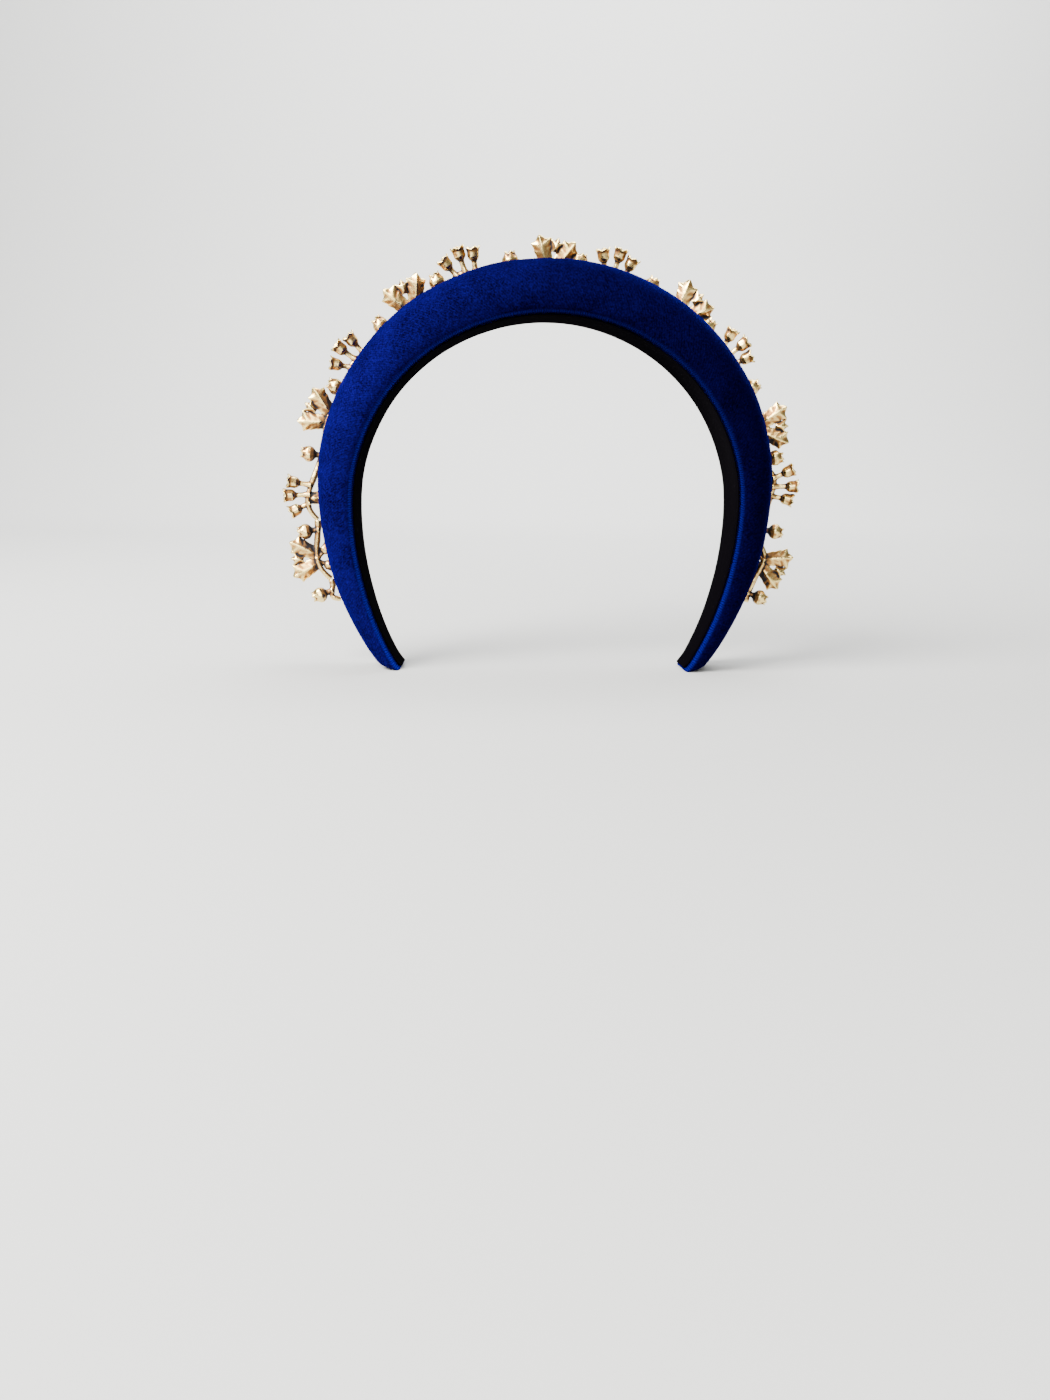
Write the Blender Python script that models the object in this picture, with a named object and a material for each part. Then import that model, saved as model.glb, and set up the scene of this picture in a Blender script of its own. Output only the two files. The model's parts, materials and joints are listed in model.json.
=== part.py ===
# Padded velvet headband with a cast metal garland, standing on its two tips.
# Units are metres. +Z is up, -Y is the front of the band, +X its left when seen from behind.
# The half-band is followed by its crest length s: 0 at the crown, + towards +X.

import math

import bpy
import bmesh
from mathutils import Matrix, Vector

# Padded band: outline seen from the front
CROWN_HEIGHT = 0.164        # floor to the top of the velvet
BAND_SPAN = 0.1866          # widest distance across the velvet
WIDEST_HEIGHT = 0.075       # height of the widest place
SIDE_RADIUS = 0.130         # in-curving sides, below the widest place

# Padded band: section
CROWN_THICKNESS = 0.0210    # inner face to crest
TIP_THICKNESS = 0.0072
CROWN_DEPTH = 0.0420        # front edge to rear edge
TIP_DEPTH = 0.0210
EDGE_HEIGHT = 0.26          # share of the thickness where the section is deepest
DOME_FULLNESS = 2.3         # exponent of the padded dome, 2 is an ellipse
BASE_FULLNESS = 5.0         # exponent of the flat inner face with its rolled edges
FOOT_ROUNDING = 0.0016      # rounded rim of each tip
REST_LEAN = math.radians(3.0)   # the band leans back until its weight is over the tips

# How the padding tapers: share of the half length, then shares between tip and crown size
PAD_TAPER = (
    {"along": 0.00, "thickness": 1.00, "depth": 1.00},
    {"along": 0.16, "thickness": 0.98, "depth": 0.99},
    {"along": 0.32, "thickness": 0.90, "depth": 0.92},
    {"along": 0.50, "thickness": 0.75, "depth": 0.77},
    {"along": 0.64, "thickness": 0.57, "depth": 0.58},
    {"along": 0.75, "thickness": 0.44, "depth": 0.40},
    {"along": 0.84, "thickness": 0.31, "depth": 0.25},
    {"along": 0.92, "thickness": 0.16, "depth": 0.12},
    {"along": 1.00, "thickness": 0.00, "depth": 0.00},
)

# Lining strip on the inner face
LINING_THICKNESS = 0.0012
LINING_MARGIN = 0.0030      # bare velvet on each side of the strip
LINING_CHAMFER = 0.0004
LINING_FLOOR_GAP = 0.0010   # the strip ends this far above the rest plane

CLEARANCE = 0.0003          # between pieces that touch

# Garland layout along the crest
MOTIF_PITCH = 0.0578        # one leaf spray and one bell spray
BELL_OFFSET = 0.0248        # from a leaf motif on to the next bell motif
FIRST_LEAF = 0.1715         # crest length of leaf spray 1, low on the +X side
LEAF_SPRAYS = 7
BELL_SPRAYS = 6
TAIL_LENGTH = 0.0100        # thin stem behind each motif
STUB_LENGTH = 0.0090        # cut stem under the end berry
VINE_SETBACK = 0.79         # share of the half depth, in front of the crest
VINE_RADIUS = 0.0014        # at the thick end
VINE_TAIL_RADIUS = 0.0011
LEAF_BULGE = 0.0027         # how far the stem of a leaf spray arches outwards
BELL_BULGE = 0.0042
BULGE_LEAD = 0.0020         # the arch is highest this far past the motif
END_LIFT = 0.0054           # the stiff castings stand off the narrowing tips
OUTER_LEAN = math.radians(10.0)     # outer motifs lean back over the crest

# How the garland stands off the velvet: share of FIRST_LEAF either way, then share of END_LIFT
LIFT_TABLE = (
    {"along": -1.15, "lift": 1.15},
    {"along": -1.00, "lift": 1.05},
    {"along": -0.83, "lift": 0.75},
    {"along": -0.69, "lift": 0.55},
    {"along": -0.50, "lift": 0.18},
    {"along": -0.35, "lift": 0.16},
    {"along": -0.16, "lift": 0.02},
    {"along": 0.00, "lift": 0.04},
    {"along": 0.20, "lift": 0.34},
    {"along": 0.35, "lift": 0.20},
    {"along": 0.52, "lift": 0.16},
    {"along": 0.66, "lift": 0.35},
    {"along": 0.75, "lift": 0.66},
    {"along": 0.87, "lift": 0.96},
    {"along": 1.00, "lift": 1.18},
    {"along": 1.14, "lift": 0.72},
)

# Motifs and berries that sit off the even spacing, + towards +X; the rest keep to it
HAND_SET = (
    {"spray": "leaf_spray_2", "motif": 0.0010, "berry": 0.0000},
    {"spray": "leaf_spray_3", "motif": 0.0025, "berry": 0.0000},
    {"spray": "leaf_spray_6", "motif": 0.0000, "berry": -0.0015},
    {"spray": "leaf_spray_7", "motif": 0.0024, "berry": 0.0000},
    {"spray": "bell_spray_2", "motif": 0.0010, "berry": 0.0000},
    {"spray": "bell_spray_3", "motif": 0.0026, "berry": 0.0000},
    {"spray": "bell_spray_6", "motif": 0.0016, "berry": -0.0006},
)

# Leaves
LEAF_LENGTH = 0.0120
LEAF_WIDTH = 0.0082
LEAF_THICKNESS = 0.0021
LEAF_SEAT = 0.0001          # leaf base above the stem's middle
INNER_LEAF_LENGTH = 0.0095
INNER_LEAF_WIDTH = 0.0068
INNER_REACH = 0.0075        # inner bells, from the stem to the middle of the cup
INNER_SHIFT = 0.0012        # inner motifs leave the stem this far past the outer ones

# The two leaves of a pair: angle from straight out, twist, base beside and above the seat
LEAF_PAIR = (
    {"angle": math.radians(-38.0), "twist": math.radians(9.0), "beside": -0.0013, "above": 0.0000},
    {"angle": math.radians(18.0), "twist": math.radians(-7.0), "beside": 0.0025, "above": 0.0003},
)

# Outline of one leaf with pointed lobes: shares of length, half width and thickness
LEAF_OUTLINE = (
    {"along": 0.00, "half_width": 0.56, "ridge": 0.60},
    {"along": 0.16, "half_width": 0.72, "ridge": 0.85},
    {"along": 0.40, "half_width": 0.80, "ridge": 0.98},
    {"along": 0.60, "half_width": 0.92, "ridge": 1.00},
    {"along": 0.66, "half_width": 0.84, "ridge": 0.95},
    {"along": 0.80, "half_width": 1.00, "ridge": 0.75},
    {"along": 0.86, "half_width": 0.52, "ridge": 0.60},
)

# Bells, buds and berries
BELL_LENGTH = 0.0048
BELL_RIM_RADIUS = 0.0027
BELL_POINTS = 4
INNER_BELL_SCALE = 0.90
STALK_RADIUS = 0.0012
BUD_LENGTH = 0.0046
BUD_RIM_RADIUS = 0.0030
BUD_POINTS = 4
BUD_REACH = 0.0060          # bud root above the stem's middle
BUD_ROOT = 0.0004
BUD_ANGLE = math.radians(-16.0)
BUD_BESIDE = 0.0013
BERRY_RADIUS = 0.0033
BERRY_REACH = 0.0056        # berry centre above the stem's middle
BERRY_POINTS = 5
LEAF_BERRY_OFFSET = 0.0108  # from the leaf motif to its berry
BELL_BERRY_OFFSET = 0.0160

# Where the cups of a motif sit: angle from straight out, stalk length, root beside and above
BELL_FAN = (
    {"angle": math.radians(-12.0), "reach": 0.0047, "beside": -0.0042, "above": -0.0010},
    {"angle": math.radians(0.0), "reach": 0.0056, "beside": -0.0002, "above": -0.0002},
    {"angle": math.radians(24.0), "reach": 0.0042, "beside": 0.0034, "above": -0.0002},
)
INNER_BELL_FAN = (
    {"angle": math.radians(-32.0), "reach": 0.0036, "beside": -0.0006, "above": 0.0000},
    {"angle": math.radians(34.0), "reach": 0.0041, "beside": 0.0006, "above": 0.0000},
)

# Turned profiles: shares of the length and of the largest radius, point marks the toothed ring
BELL_PROFILE = (
    {"along": 0.00, "radius": 0.56, "point": 0.0},
    {"along": 0.58, "radius": 0.80, "point": 0.0},
    {"along": 0.90, "radius": 1.00, "point": 1.0},
)
BELL_HOLLOW = 0.55          # share of the length where the hollow ends
BELL_TOOTH = 0.16           # share of the length that the rim's points rise and fall
BERRY_PROFILE = (
    {"along": 0.06, "radius": 0.50, "point": 0.0},
    {"along": 0.26, "radius": 0.90, "point": 0.0},
    {"along": 0.52, "radius": 1.00, "point": 0.0},
    {"along": 0.78, "radius": 0.78, "point": 0.0},
    {"along": 0.90, "radius": 0.52, "point": 1.0},
)
BERRY_TOOTH = 0.18
TOOTH_SPREAD = 0.14         # share of the radius that the points stand in and out
TOOTH_PHASE = 0.3           # share of a side that every turned piece is turned by

# Mesh detail
OUTLINE_SAMPLES = 400
BAND_STATIONS = 60
SECTION_SIDES = 16
STEM_SIDES = 6
STEM_STATIONS = 9
FUSE_SCALE = 1000.0

# Finishes: base colour (linear), metallic, roughness
FINISHES = {
    "blue_velvet": ((0.002, 0.013, 0.262, 1.0), 0.0, 0.85),
    "black_lining": ((0.004, 0.004, 0.010, 1.0), 0.0, 0.80),
    "antique_gold": ((0.610, 0.376, 0.156, 1.0), 1.0, 0.38),
}

REST_NORMAL = Vector((0.0, -math.sin(REST_LEAN), math.cos(REST_LEAN)))


def clear_scene():
    for old in list(bpy.data.objects):
        bpy.data.objects.remove(old, do_unlink=True)


def read_table(table, column, share):
    """Value of a column at a share along the table, on a smooth curve through the rows."""
    places = [row["along"] for row in table]
    values = [row[column] for row in table]
    share = min(max(share, places[0]), places[-1])
    last = len(table) - 1
    left = max(i for i in range(last) if places[i] <= share)
    span = places[left + 1] - places[left]

    def slope(i):
        before, after = max(i - 1, 0), min(i + 1, last)
        return (values[after] - values[before]) / (places[after] - places[before])

    t = (share - places[left]) / span
    start = (2 * t**3 - 3 * t**2 + 1) * values[left] + (t**3 - 2 * t**2 + t) * span * slope(left)
    end = (3 * t**2 - 2 * t**3) * values[left + 1] + (t**3 - t**2) * span * slope(left + 1)
    return start + end


# Crest outline

def crest_samples():
    """Rows of (length, x, z, normal x, normal z) down one side, past the rest plane."""
    half_span = BAND_SPAN / 2
    rise = CROWN_HEIGHT - WIDEST_HEIGHT
    past_floor = TIP_THICKNESS + TIP_DEPTH * math.sin(REST_LEAN)
    last_turn = math.asin((WIDEST_HEIGHT + past_floor) / SIDE_RADIUS)
    rows = []
    for i in range(OUTLINE_SAMPLES + 1):
        turn = math.pi / 2 * i / OUTLINE_SAMPLES
        x, up = half_span * math.sin(turn), rise * math.cos(turn)
        normal = Vector((x / half_span**2, up / rise**2)).normalized()
        rows.append((x, WIDEST_HEIGHT + up, normal.x, normal.y))
    for i in range(1, OUTLINE_SAMPLES + 1):
        turn = last_turn * i / OUTLINE_SAMPLES
        x = half_span - SIDE_RADIUS * (1 - math.cos(turn))
        rows.append((x, WIDEST_HEIGHT - SIDE_RADIUS * math.sin(turn), math.cos(turn), -math.sin(turn)))
    length, samples = 0.0, []
    for i, row in enumerate(rows):
        if i:
            length += math.hypot(row[0] - rows[i - 1][0], row[1] - rows[i - 1][1])
        samples.append((length,) + row)
    return samples


CREST = crest_samples()
HALF_LENGTH = max(row[0] for row in CREST if row[2] >= 0.0)
FULL_LENGTH = CREST[-1][0]


def crest_at(s):
    """Crest point and outward normal at signed crest length s."""
    reach = min(abs(s), FULL_LENGTH)
    side = -1.0 if s < 0 else 1.0
    low, high = 0, len(CREST) - 1
    while high - low > 1:
        middle = (low + high) // 2
        if CREST[middle][0] <= reach:
            low = middle
        else:
            high = middle
    a, b = CREST[low], CREST[high]
    t = (reach - a[0]) / (b[0] - a[0])
    x, z, nx, nz = (a[i] + (b[i] - a[i]) * t for i in range(1, 5))
    return Vector((side * x, 0.0, z)), Vector((side * nx, 0.0, nz)).normalized()


# Padded section

def pad_thickness(s):
    share = read_table(PAD_TAPER, "thickness", abs(s) / HALF_LENGTH)
    return TIP_THICKNESS + (CROWN_THICKNESS - TIP_THICKNESS) * share


def pad_depth(s):
    share = read_table(PAD_TAPER, "depth", abs(s) / HALF_LENGTH)
    return TIP_DEPTH + (CROWN_DEPTH - TIP_DEPTH) * share


def section_point(s, angle):
    """(y, height above the inner face) on the padded section; 90 degrees is the crest."""
    thickness, half_depth = pad_thickness(s), pad_depth(s) / 2
    across, up = math.cos(angle), math.sin(angle)
    edge = thickness * EDGE_HEIGHT
    fullness = DOME_FULLNESS if up >= 0 else BASE_FULLNESS
    y = math.copysign(half_depth * abs(across) ** (2 / fullness), across)
    rise = abs(up) ** (2 / fullness)
    return (y, edge + (thickness - edge) * rise) if up >= 0 else (y, edge * (1 - rise))


def band_point(s, y, height):
    """Point of the band's own frame at depth y and a height above the inner face."""
    crest, normal = crest_at(s)
    return crest + normal * (height - pad_thickness(s)) + Vector((0.0, y, 0.0))


def dome_at(s, angle):
    """Point on the velvet and its outward normal, in the plane of the section."""
    step = 1e-4
    y, height = section_point(s, angle)
    before, after = section_point(s, angle - step), section_point(s, angle + step)
    along_y, along_height = after[0] - before[0], after[1] - before[1]
    outward = crest_at(s)[1]
    normal = Vector((0.0, along_height, 0.0)) - outward * along_y
    return band_point(s, y, height), normal.normalized()


def leaned_out(s):
    """Direction in which the castings stand: outwards and a little back over the crest."""
    return crest_at(s)[1] * math.cos(OUTER_LEAN) + Vector((0.0, math.sin(OUTER_LEAN), 0.0))


VINE_ANGLE = math.pi - math.acos(VINE_SETBACK ** (DOME_FULLNESS / 2))


def vine_point(s, bulge=0.0):
    """Middle of the stem: it lies on the front slope and rises off it towards the tips."""
    surface, normal = dome_at(s, VINE_ANGLE)
    lift = END_LIFT * read_table(LIFT_TABLE, "lift", s / FIRST_LEAF)
    return surface + normal * (VINE_RADIUS + CLEARANCE) + leaned_out(s) * (lift + bulge)


# Mesh building

def make_object(name, points, faces, finish):
    mesh = bpy.data.meshes.new(name)
    mesh.from_pydata([tuple(p) for p in points], [], faces)
    shape = bmesh.new()
    shape.from_mesh(mesh)
    bmesh.ops.recalc_face_normals(shape, faces=shape.faces)
    shape.to_mesh(mesh)
    shape.free()
    made = bpy.data.objects.new(name, mesh)
    bpy.context.collection.objects.link(made)
    made.data.materials.append(finish)
    return made


def loft(rings):
    """Closed skin over rings that have the same number of points."""
    sides = len(rings[0])
    points = [p for ring in rings for p in ring]
    faces = []
    for i in range(len(rings) - 1):
        for k in range(sides):
            a, b = i * sides + k, i * sides + (k + 1) % sides
            faces.append((a, b, b + sides, a + sides))
    faces.append(tuple(reversed(range(sides))))
    faces.append(tuple(range((len(rings) - 1) * sides, len(rings) * sides)))
    return points, faces


def cut_at_floor(piece, height, rounding):
    """Cut a piece flat on the rest plane, or a height above it, and round the new rims."""
    shape = bmesh.new()
    shape.from_mesh(piece.data)
    everything = list(shape.verts) + list(shape.edges) + list(shape.faces)
    bmesh.ops.bisect_plane(shape, geom=everything, plane_co=REST_NORMAL * height,
                           plane_no=REST_NORMAL, clear_inner=True)
    rims = [edge for edge in shape.edges if edge.is_boundary]
    caps = bmesh.ops.holes_fill(shape, edges=rims, sides=0)["faces"]
    if rounding:
        rim_edges = list({edge for face in caps for edge in face.edges})
        bmesh.ops.bevel(shape, geom=rim_edges, offset=rounding, segments=2, profile=0.5,
                        affect="EDGES", clamp_overlap=True)
    bmesh.ops.recalc_face_normals(shape, faces=shape.faces)
    shape.to_mesh(piece.data)
    shape.free()


def shade_round(piece, sharp_degrees):
    piece.data.shade_smooth()
    piece.data.set_sharp_from_angle(angle=math.radians(sharp_degrees))


# Band and lining

def station_lengths():
    return [FULL_LENGTH * (2 * i / BAND_STATIONS - 1) for i in range(BAND_STATIONS + 1)]


def build_padded_band(finish):
    rings = []
    for s in station_lengths():
        angles = [2 * math.pi * k / SECTION_SIDES for k in range(SECTION_SIDES)]
        rings.append([band_point(s, *section_point(s, angle)) for angle in angles])
    band = make_object("padded_band", *loft(rings), finish)
    cut_at_floor(band, 0.0, FOOT_ROUNDING)
    shade_round(band, 40)
    return band


def build_inner_lining(finish):
    rings = []
    for s in station_lengths():
        half = pad_depth(s) / 2 - LINING_MARGIN
        top = -CLEARANCE
        bottom = top - LINING_THICKNESS
        middle = (top + bottom) / 2
        corners = ((-half, middle), (LINING_CHAMFER - half, top), (half - LINING_CHAMFER, top),
                   (half, middle), (half - LINING_CHAMFER, bottom), (LINING_CHAMFER - half, bottom))
        rings.append([band_point(s, y, height) for y, height in corners])
    lining = make_object("inner_lining", *loft(rings), finish)
    cut_at_floor(lining, LINING_FLOOR_GAP, 0.0)
    shade_round(lining, 40)
    return lining


# Cast pieces, each in its own frame: +Y outwards, +X along the garland, +Z to the front

def leaf_shape(length, width, thickness):
    rings = []
    for row in LEAF_OUTLINE:
        y = row["along"] * length
        half, ridge = row["half_width"] * width / 2, row["ridge"] * thickness / 2
        rings.append([Vector((-half, y, 0.0)), Vector((0.0, y, -ridge)),
                      Vector((half, y, 0.0)), Vector((0.0, y, ridge))])
    points, faces = loft(rings)
    points.append(Vector((0.0, length, 0.0)))
    tip, last = len(points) - 1, len(rings) * 4 - 4
    faces.pop()
    faces += [(last + k, last + (k + 1) % 4, tip) for k in range(4)]
    return points, faces


def turned_shape(profile, length, radius, stalk, teeth, tooth, hollow):
    """Turned body on a stalk along +Y, with a toothed ring and a hollow or cone at its end."""
    sides = 2 * teeth
    rows = [(-stalk, STALK_RADIUS, 0.0)]
    rows += [(row["along"] * length, row["radius"] * radius, row["point"]) for row in profile]
    rings = []
    for along, wide, point in rows:
        ring = []
        for k in range(sides):
            turn = 2 * math.pi * (k + TOOTH_PHASE) / sides
            sway = (1 if k % 2 == 0 else -1) * point
            spread = wide * (1 + TOOTH_SPREAD * sway)
            y = stalk + along + length * tooth * sway / 2
            ring.append(Vector((spread * math.cos(turn), y, spread * math.sin(turn))))
        rings.append(ring)
    points, faces = loft(rings)
    points.append(Vector((0.0, stalk + length * hollow, 0.0)))
    middle, last = len(points) - 1, (len(rings) - 1) * sides
    faces.pop()
    faces += [(last + k, last + (k + 1) % sides, middle) for k in range(sides)]
    return points, faces


def bell_shape(stalk, scale):
    return turned_shape(BELL_PROFILE, BELL_LENGTH * scale, BELL_RIM_RADIUS * scale, stalk,
                        BELL_POINTS, BELL_TOOTH, BELL_HOLLOW)


def bud_shape():
    return turned_shape(BELL_PROFILE, BUD_LENGTH, BUD_RIM_RADIUS, BUD_ROOT, BUD_POINTS,
                        BELL_TOOTH, 1.0)


def berry_shape():
    return turned_shape(BERRY_PROFILE, 2 * BERRY_RADIUS, BERRY_RADIUS,
                        BERRY_REACH - BERRY_RADIUS, BERRY_POINTS, BERRY_TOOTH, 1.0)


def tube_shape(path, radii, side_axes):
    """Round bar through the points of a path; side_axes gives two axes across it."""
    rings = []
    for point, radius, (first, second) in zip(path, radii, side_axes):
        turns = [2 * math.pi * k / STEM_SIDES for k in range(STEM_SIDES)]
        rings.append([point + first * (radius * math.cos(t)) + second * (radius * math.sin(t))
                      for t in turns])
    return loft(rings)


def moved(shape, frame):
    points, faces = shape
    return [frame @ p for p in points], faces


def turned_about(angle, x=0.0, y=0.0):
    """Frame at (x, y) turned by an angle away from straight out, towards +X."""
    return Matrix.Translation((x, y, 0.0)) @ Matrix.Rotation(-angle, 4, "Z")


def frame_from(origin, along, outward):
    across = along.cross(outward).normalized()
    along = outward.cross(across).normalized()
    frame = Matrix((along, outward, across)).transposed().to_4x4()
    frame.translation = origin
    return frame


def along_garland(s):
    step = 1e-4
    return (crest_at(s + step)[0] - crest_at(s - step)[0]).normalized()


def outer_frame(s, bulge):
    """Frame of an outer motif on the stem."""
    return frame_from(vine_point(s, bulge), along_garland(s), leaned_out(s))


def inner_frame(s, bulge, reach, standoff):
    """Frame of an inner motif: it runs from the stem down the front slope of the velvet."""
    start = vine_point(s, bulge)
    angle = VINE_ANGLE
    target = start
    while (target - start).length < reach and angle < math.pi:
        angle += 0.01
        surface, normal = dome_at(s, angle)
        target = surface + normal * standoff
    return frame_from(start, -along_garland(s), (target - start).normalized())


# Sprays

def stem_bulge(s, run):
    """How far the stem arches out at s: nothing at its ends, most just past the motif."""
    head, tail, motif, bulge = run
    peak = (motif + BULGE_LEAD - head) / (tail - head)
    share = min(max((s - head) / (tail - head), 0.0), 1.0)
    return bulge * math.sin(math.pi * share ** (math.log(0.5) / math.log(peak)))


def stem_shape(run):
    """Arched stem from its thick head to its thin tail."""
    head, tail = run[:2]
    path, radii, axes = [], [], []
    for i in range(STEM_STATIONS):
        share = i / (STEM_STATIONS - 1)
        s = head + (tail - head) * share
        path.append(vine_point(s, stem_bulge(s, run)))
        radii.append(VINE_RADIUS + (VINE_TAIL_RADIUS - VINE_RADIUS) * share)
        axes.append((crest_at(s)[1], Vector((0.0, 1.0, 0.0))))
    return tube_shape(path, radii, axes)


def fuse(name, shapes, finish):
    """Join overlapping shapes into one solid, at millimetre scale where the union is cleanest."""
    enlarge = Matrix.Scale(FUSE_SCALE, 4)
    shapes = [moved(shape, enlarge) for shape in shapes]
    base = make_object(name, *shapes[0], finish)
    helpers = []
    for i, shape in enumerate(shapes[1:]):
        helper = make_object(f"{name}_part_{i}", *shape, finish)
        helper.hide_render = True
        helper.display_type = "WIRE"
        union = base.modifiers.new("join", "BOOLEAN")
        union.operation = "UNION"
        union.solver = "EXACT"
        union.object = helper
        helpers.append(helper)
    bpy.context.view_layer.update()
    joined = bpy.data.meshes.new_from_object(
        base.evaluated_get(bpy.context.evaluated_depsgraph_get()))
    base.modifiers.clear()
    base.data = joined
    for helper in helpers:
        bpy.data.objects.remove(helper, do_unlink=True)
    base.data.transform(Matrix.Scale(1 / FUSE_SCALE, 4))
    shade_round(base, 35)
    return base


def hand_set(name, column):
    """How far a spray's motif or berry sits off the even spacing."""
    return sum(row[column] for row in HAND_SET if row["spray"] == name)


def berry_part(s, run):
    return moved(berry_shape(), outer_frame(s, stem_bulge(s, run)))


def bell_parts(frame, fan, scale):
    return [moved(bell_shape(row["reach"] * scale, scale),
                  frame @ turned_about(row["angle"], row["beside"], row["above"])) for row in fan]


def build_leaf_spray(number, middle, finish):
    """Stem with a berry, two outer leaves bridged by a bud, and two bells on the inner side."""
    name = f"leaf_spray_{number}"
    motif = middle + hand_set(name, "motif")
    run = (middle - (BELL_OFFSET - TAIL_LENGTH) + CLEARANCE, middle + TAIL_LENGTH, motif, LEAF_BULGE)
    outer = outer_frame(motif, stem_bulge(motif, run))
    parts = [stem_shape(run)]
    for row in LEAF_PAIR:
        seat = turned_about(row["angle"], row["beside"], LEAF_SEAT + row["above"])
        seat = seat @ Matrix.Rotation(row["twist"], 4, "Y")
        parts.append(moved(leaf_shape(LEAF_LENGTH, LEAF_WIDTH, LEAF_THICKNESS), outer @ seat))
    bud = turned_about(BUD_ANGLE, BUD_BESIDE) @ Matrix.Translation((0.0, BUD_REACH, 0.0))
    parts.append(moved(bud_shape(), outer @ bud))
    parts.append(berry_part(middle - LEAF_BERRY_OFFSET + hand_set(name, "berry"), run))
    start = motif + INNER_SHIFT
    standoff = BELL_RIM_RADIUS * INNER_BELL_SCALE + CLEARANCE
    inner = inner_frame(start, stem_bulge(start, run), INNER_REACH, standoff)
    parts += bell_parts(inner, INNER_BELL_FAN, INNER_BELL_SCALE)
    return fuse(name, parts, finish)


def build_bell_spray(number, middle, finish):
    """Stem with a berry, three outer bells, and a leaf on the inner side."""
    name = f"bell_spray_{number}"
    motif = middle + hand_set(name, "motif")
    run = (middle - (MOTIF_PITCH - BELL_OFFSET - TAIL_LENGTH) + CLEARANCE, middle + TAIL_LENGTH,
           motif, BELL_BULGE)
    parts = [stem_shape(run)]
    parts += bell_parts(outer_frame(motif, stem_bulge(motif, run)), BELL_FAN, 1.0)
    parts.append(berry_part(middle - BELL_BERRY_OFFSET + hand_set(name, "berry"), run))
    start = motif + INNER_SHIFT
    standoff = LEAF_THICKNESS / 2 + 2 * CLEARANCE
    inner = inner_frame(start, stem_bulge(start, run), INNER_LEAF_LENGTH, standoff)
    seat = Matrix.Translation((0.0, LEAF_SEAT, 0.0))
    parts.append(moved(leaf_shape(INNER_LEAF_LENGTH, INNER_LEAF_WIDTH, LEAF_THICKNESS), inner @ seat))
    return fuse(name, parts, finish)


def build_end_berry(finish):
    """Berry on the cut stub that closes the garland, below leaf spray 1."""
    head = FIRST_LEAF + TAIL_LENGTH + CLEARANCE
    middle = head + STUB_LENGTH / 2
    run = (head, head + STUB_LENGTH, middle, LEAF_BULGE)
    return fuse("end_berry", [stem_shape(run), berry_part(middle, run)], finish)


def build_garland(finish):
    sprays = [build_end_berry(finish)]
    for i in range(LEAF_SPRAYS):
        sprays.append(build_leaf_spray(i + 1, FIRST_LEAF - i * MOTIF_PITCH, finish))
    for i in range(BELL_SPRAYS):
        sprays.append(build_bell_spray(i + 1, FIRST_LEAF - BELL_OFFSET - i * MOTIF_PITCH, finish))
    return sprays


# Finishes and placing

def make_finish(name):
    colour, metallic, roughness = FINISHES[name]
    finish = bpy.data.materials.new(name)
    finish.use_nodes = True
    shader = finish.node_tree.nodes["Principled BSDF"]
    shader.inputs["Base Color"].default_value = colour
    shader.inputs["Metallic"].default_value = metallic
    shader.inputs["Roughness"].default_value = roughness
    finish.diffuse_color = colour
    return finish


def stand_on_tips(pieces):
    """Lean the headband back on its tips and centre it over the origin."""
    stand = bpy.data.objects.new("headband", None)
    bpy.context.collection.objects.link(stand)
    lean = Matrix.Rotation(-REST_LEAN, 4, "X")
    places = [lean @ vert.co for piece in pieces for vert in piece.data.vertices]
    stand.rotation_euler = (-REST_LEAN, 0.0, 0.0)
    stand.location.x = -(min(p.x for p in places) + max(p.x for p in places)) / 2
    stand.location.y = -(min(p.y for p in places) + max(p.y for p in places)) / 2
    for piece in pieces:
        piece.parent = stand


def main():
    clear_scene()
    finishes = {name: make_finish(name) for name in FINISHES}
    pieces = [build_padded_band(finishes["blue_velvet"]),
              build_inner_lining(finishes["black_lining"])]
    pieces += build_garland(finishes["antique_gold"])
    stand_on_tips(pieces)


main()
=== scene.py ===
# Padded blue velvet headband with a cast gold garland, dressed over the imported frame.
# Metres. The band's own frame has +Z up between its tips, -Y to the front and +X to its left.
# A place along the band is its crest length s: 0 at the crown, + towards +X.

import json
import math

import bmesh
import bpy
import numpy as np
from mathutils import Matrix, Vector, noise
from mathutils.bvhtree import BVHTree

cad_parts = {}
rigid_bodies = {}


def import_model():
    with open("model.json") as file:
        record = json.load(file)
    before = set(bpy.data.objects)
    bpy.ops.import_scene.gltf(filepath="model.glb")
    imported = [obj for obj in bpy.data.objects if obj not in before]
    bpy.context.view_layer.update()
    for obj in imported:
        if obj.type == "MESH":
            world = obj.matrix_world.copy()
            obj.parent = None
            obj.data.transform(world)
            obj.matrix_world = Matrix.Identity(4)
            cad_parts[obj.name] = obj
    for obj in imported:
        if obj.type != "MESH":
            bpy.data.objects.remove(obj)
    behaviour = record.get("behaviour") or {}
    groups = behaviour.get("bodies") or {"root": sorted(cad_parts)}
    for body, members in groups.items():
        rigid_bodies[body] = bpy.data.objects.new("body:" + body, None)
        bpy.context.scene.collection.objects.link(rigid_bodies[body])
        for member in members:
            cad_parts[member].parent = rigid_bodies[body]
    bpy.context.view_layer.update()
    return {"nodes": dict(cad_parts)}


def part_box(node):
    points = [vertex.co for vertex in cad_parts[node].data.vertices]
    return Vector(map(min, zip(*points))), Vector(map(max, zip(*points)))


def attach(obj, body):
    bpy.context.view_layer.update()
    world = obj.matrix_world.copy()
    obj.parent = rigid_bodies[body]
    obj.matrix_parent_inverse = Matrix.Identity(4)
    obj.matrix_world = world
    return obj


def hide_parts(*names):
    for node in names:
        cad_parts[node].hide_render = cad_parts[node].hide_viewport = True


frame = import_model()
print("frame loaded:", len(frame["nodes"]), "nodes")

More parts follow.
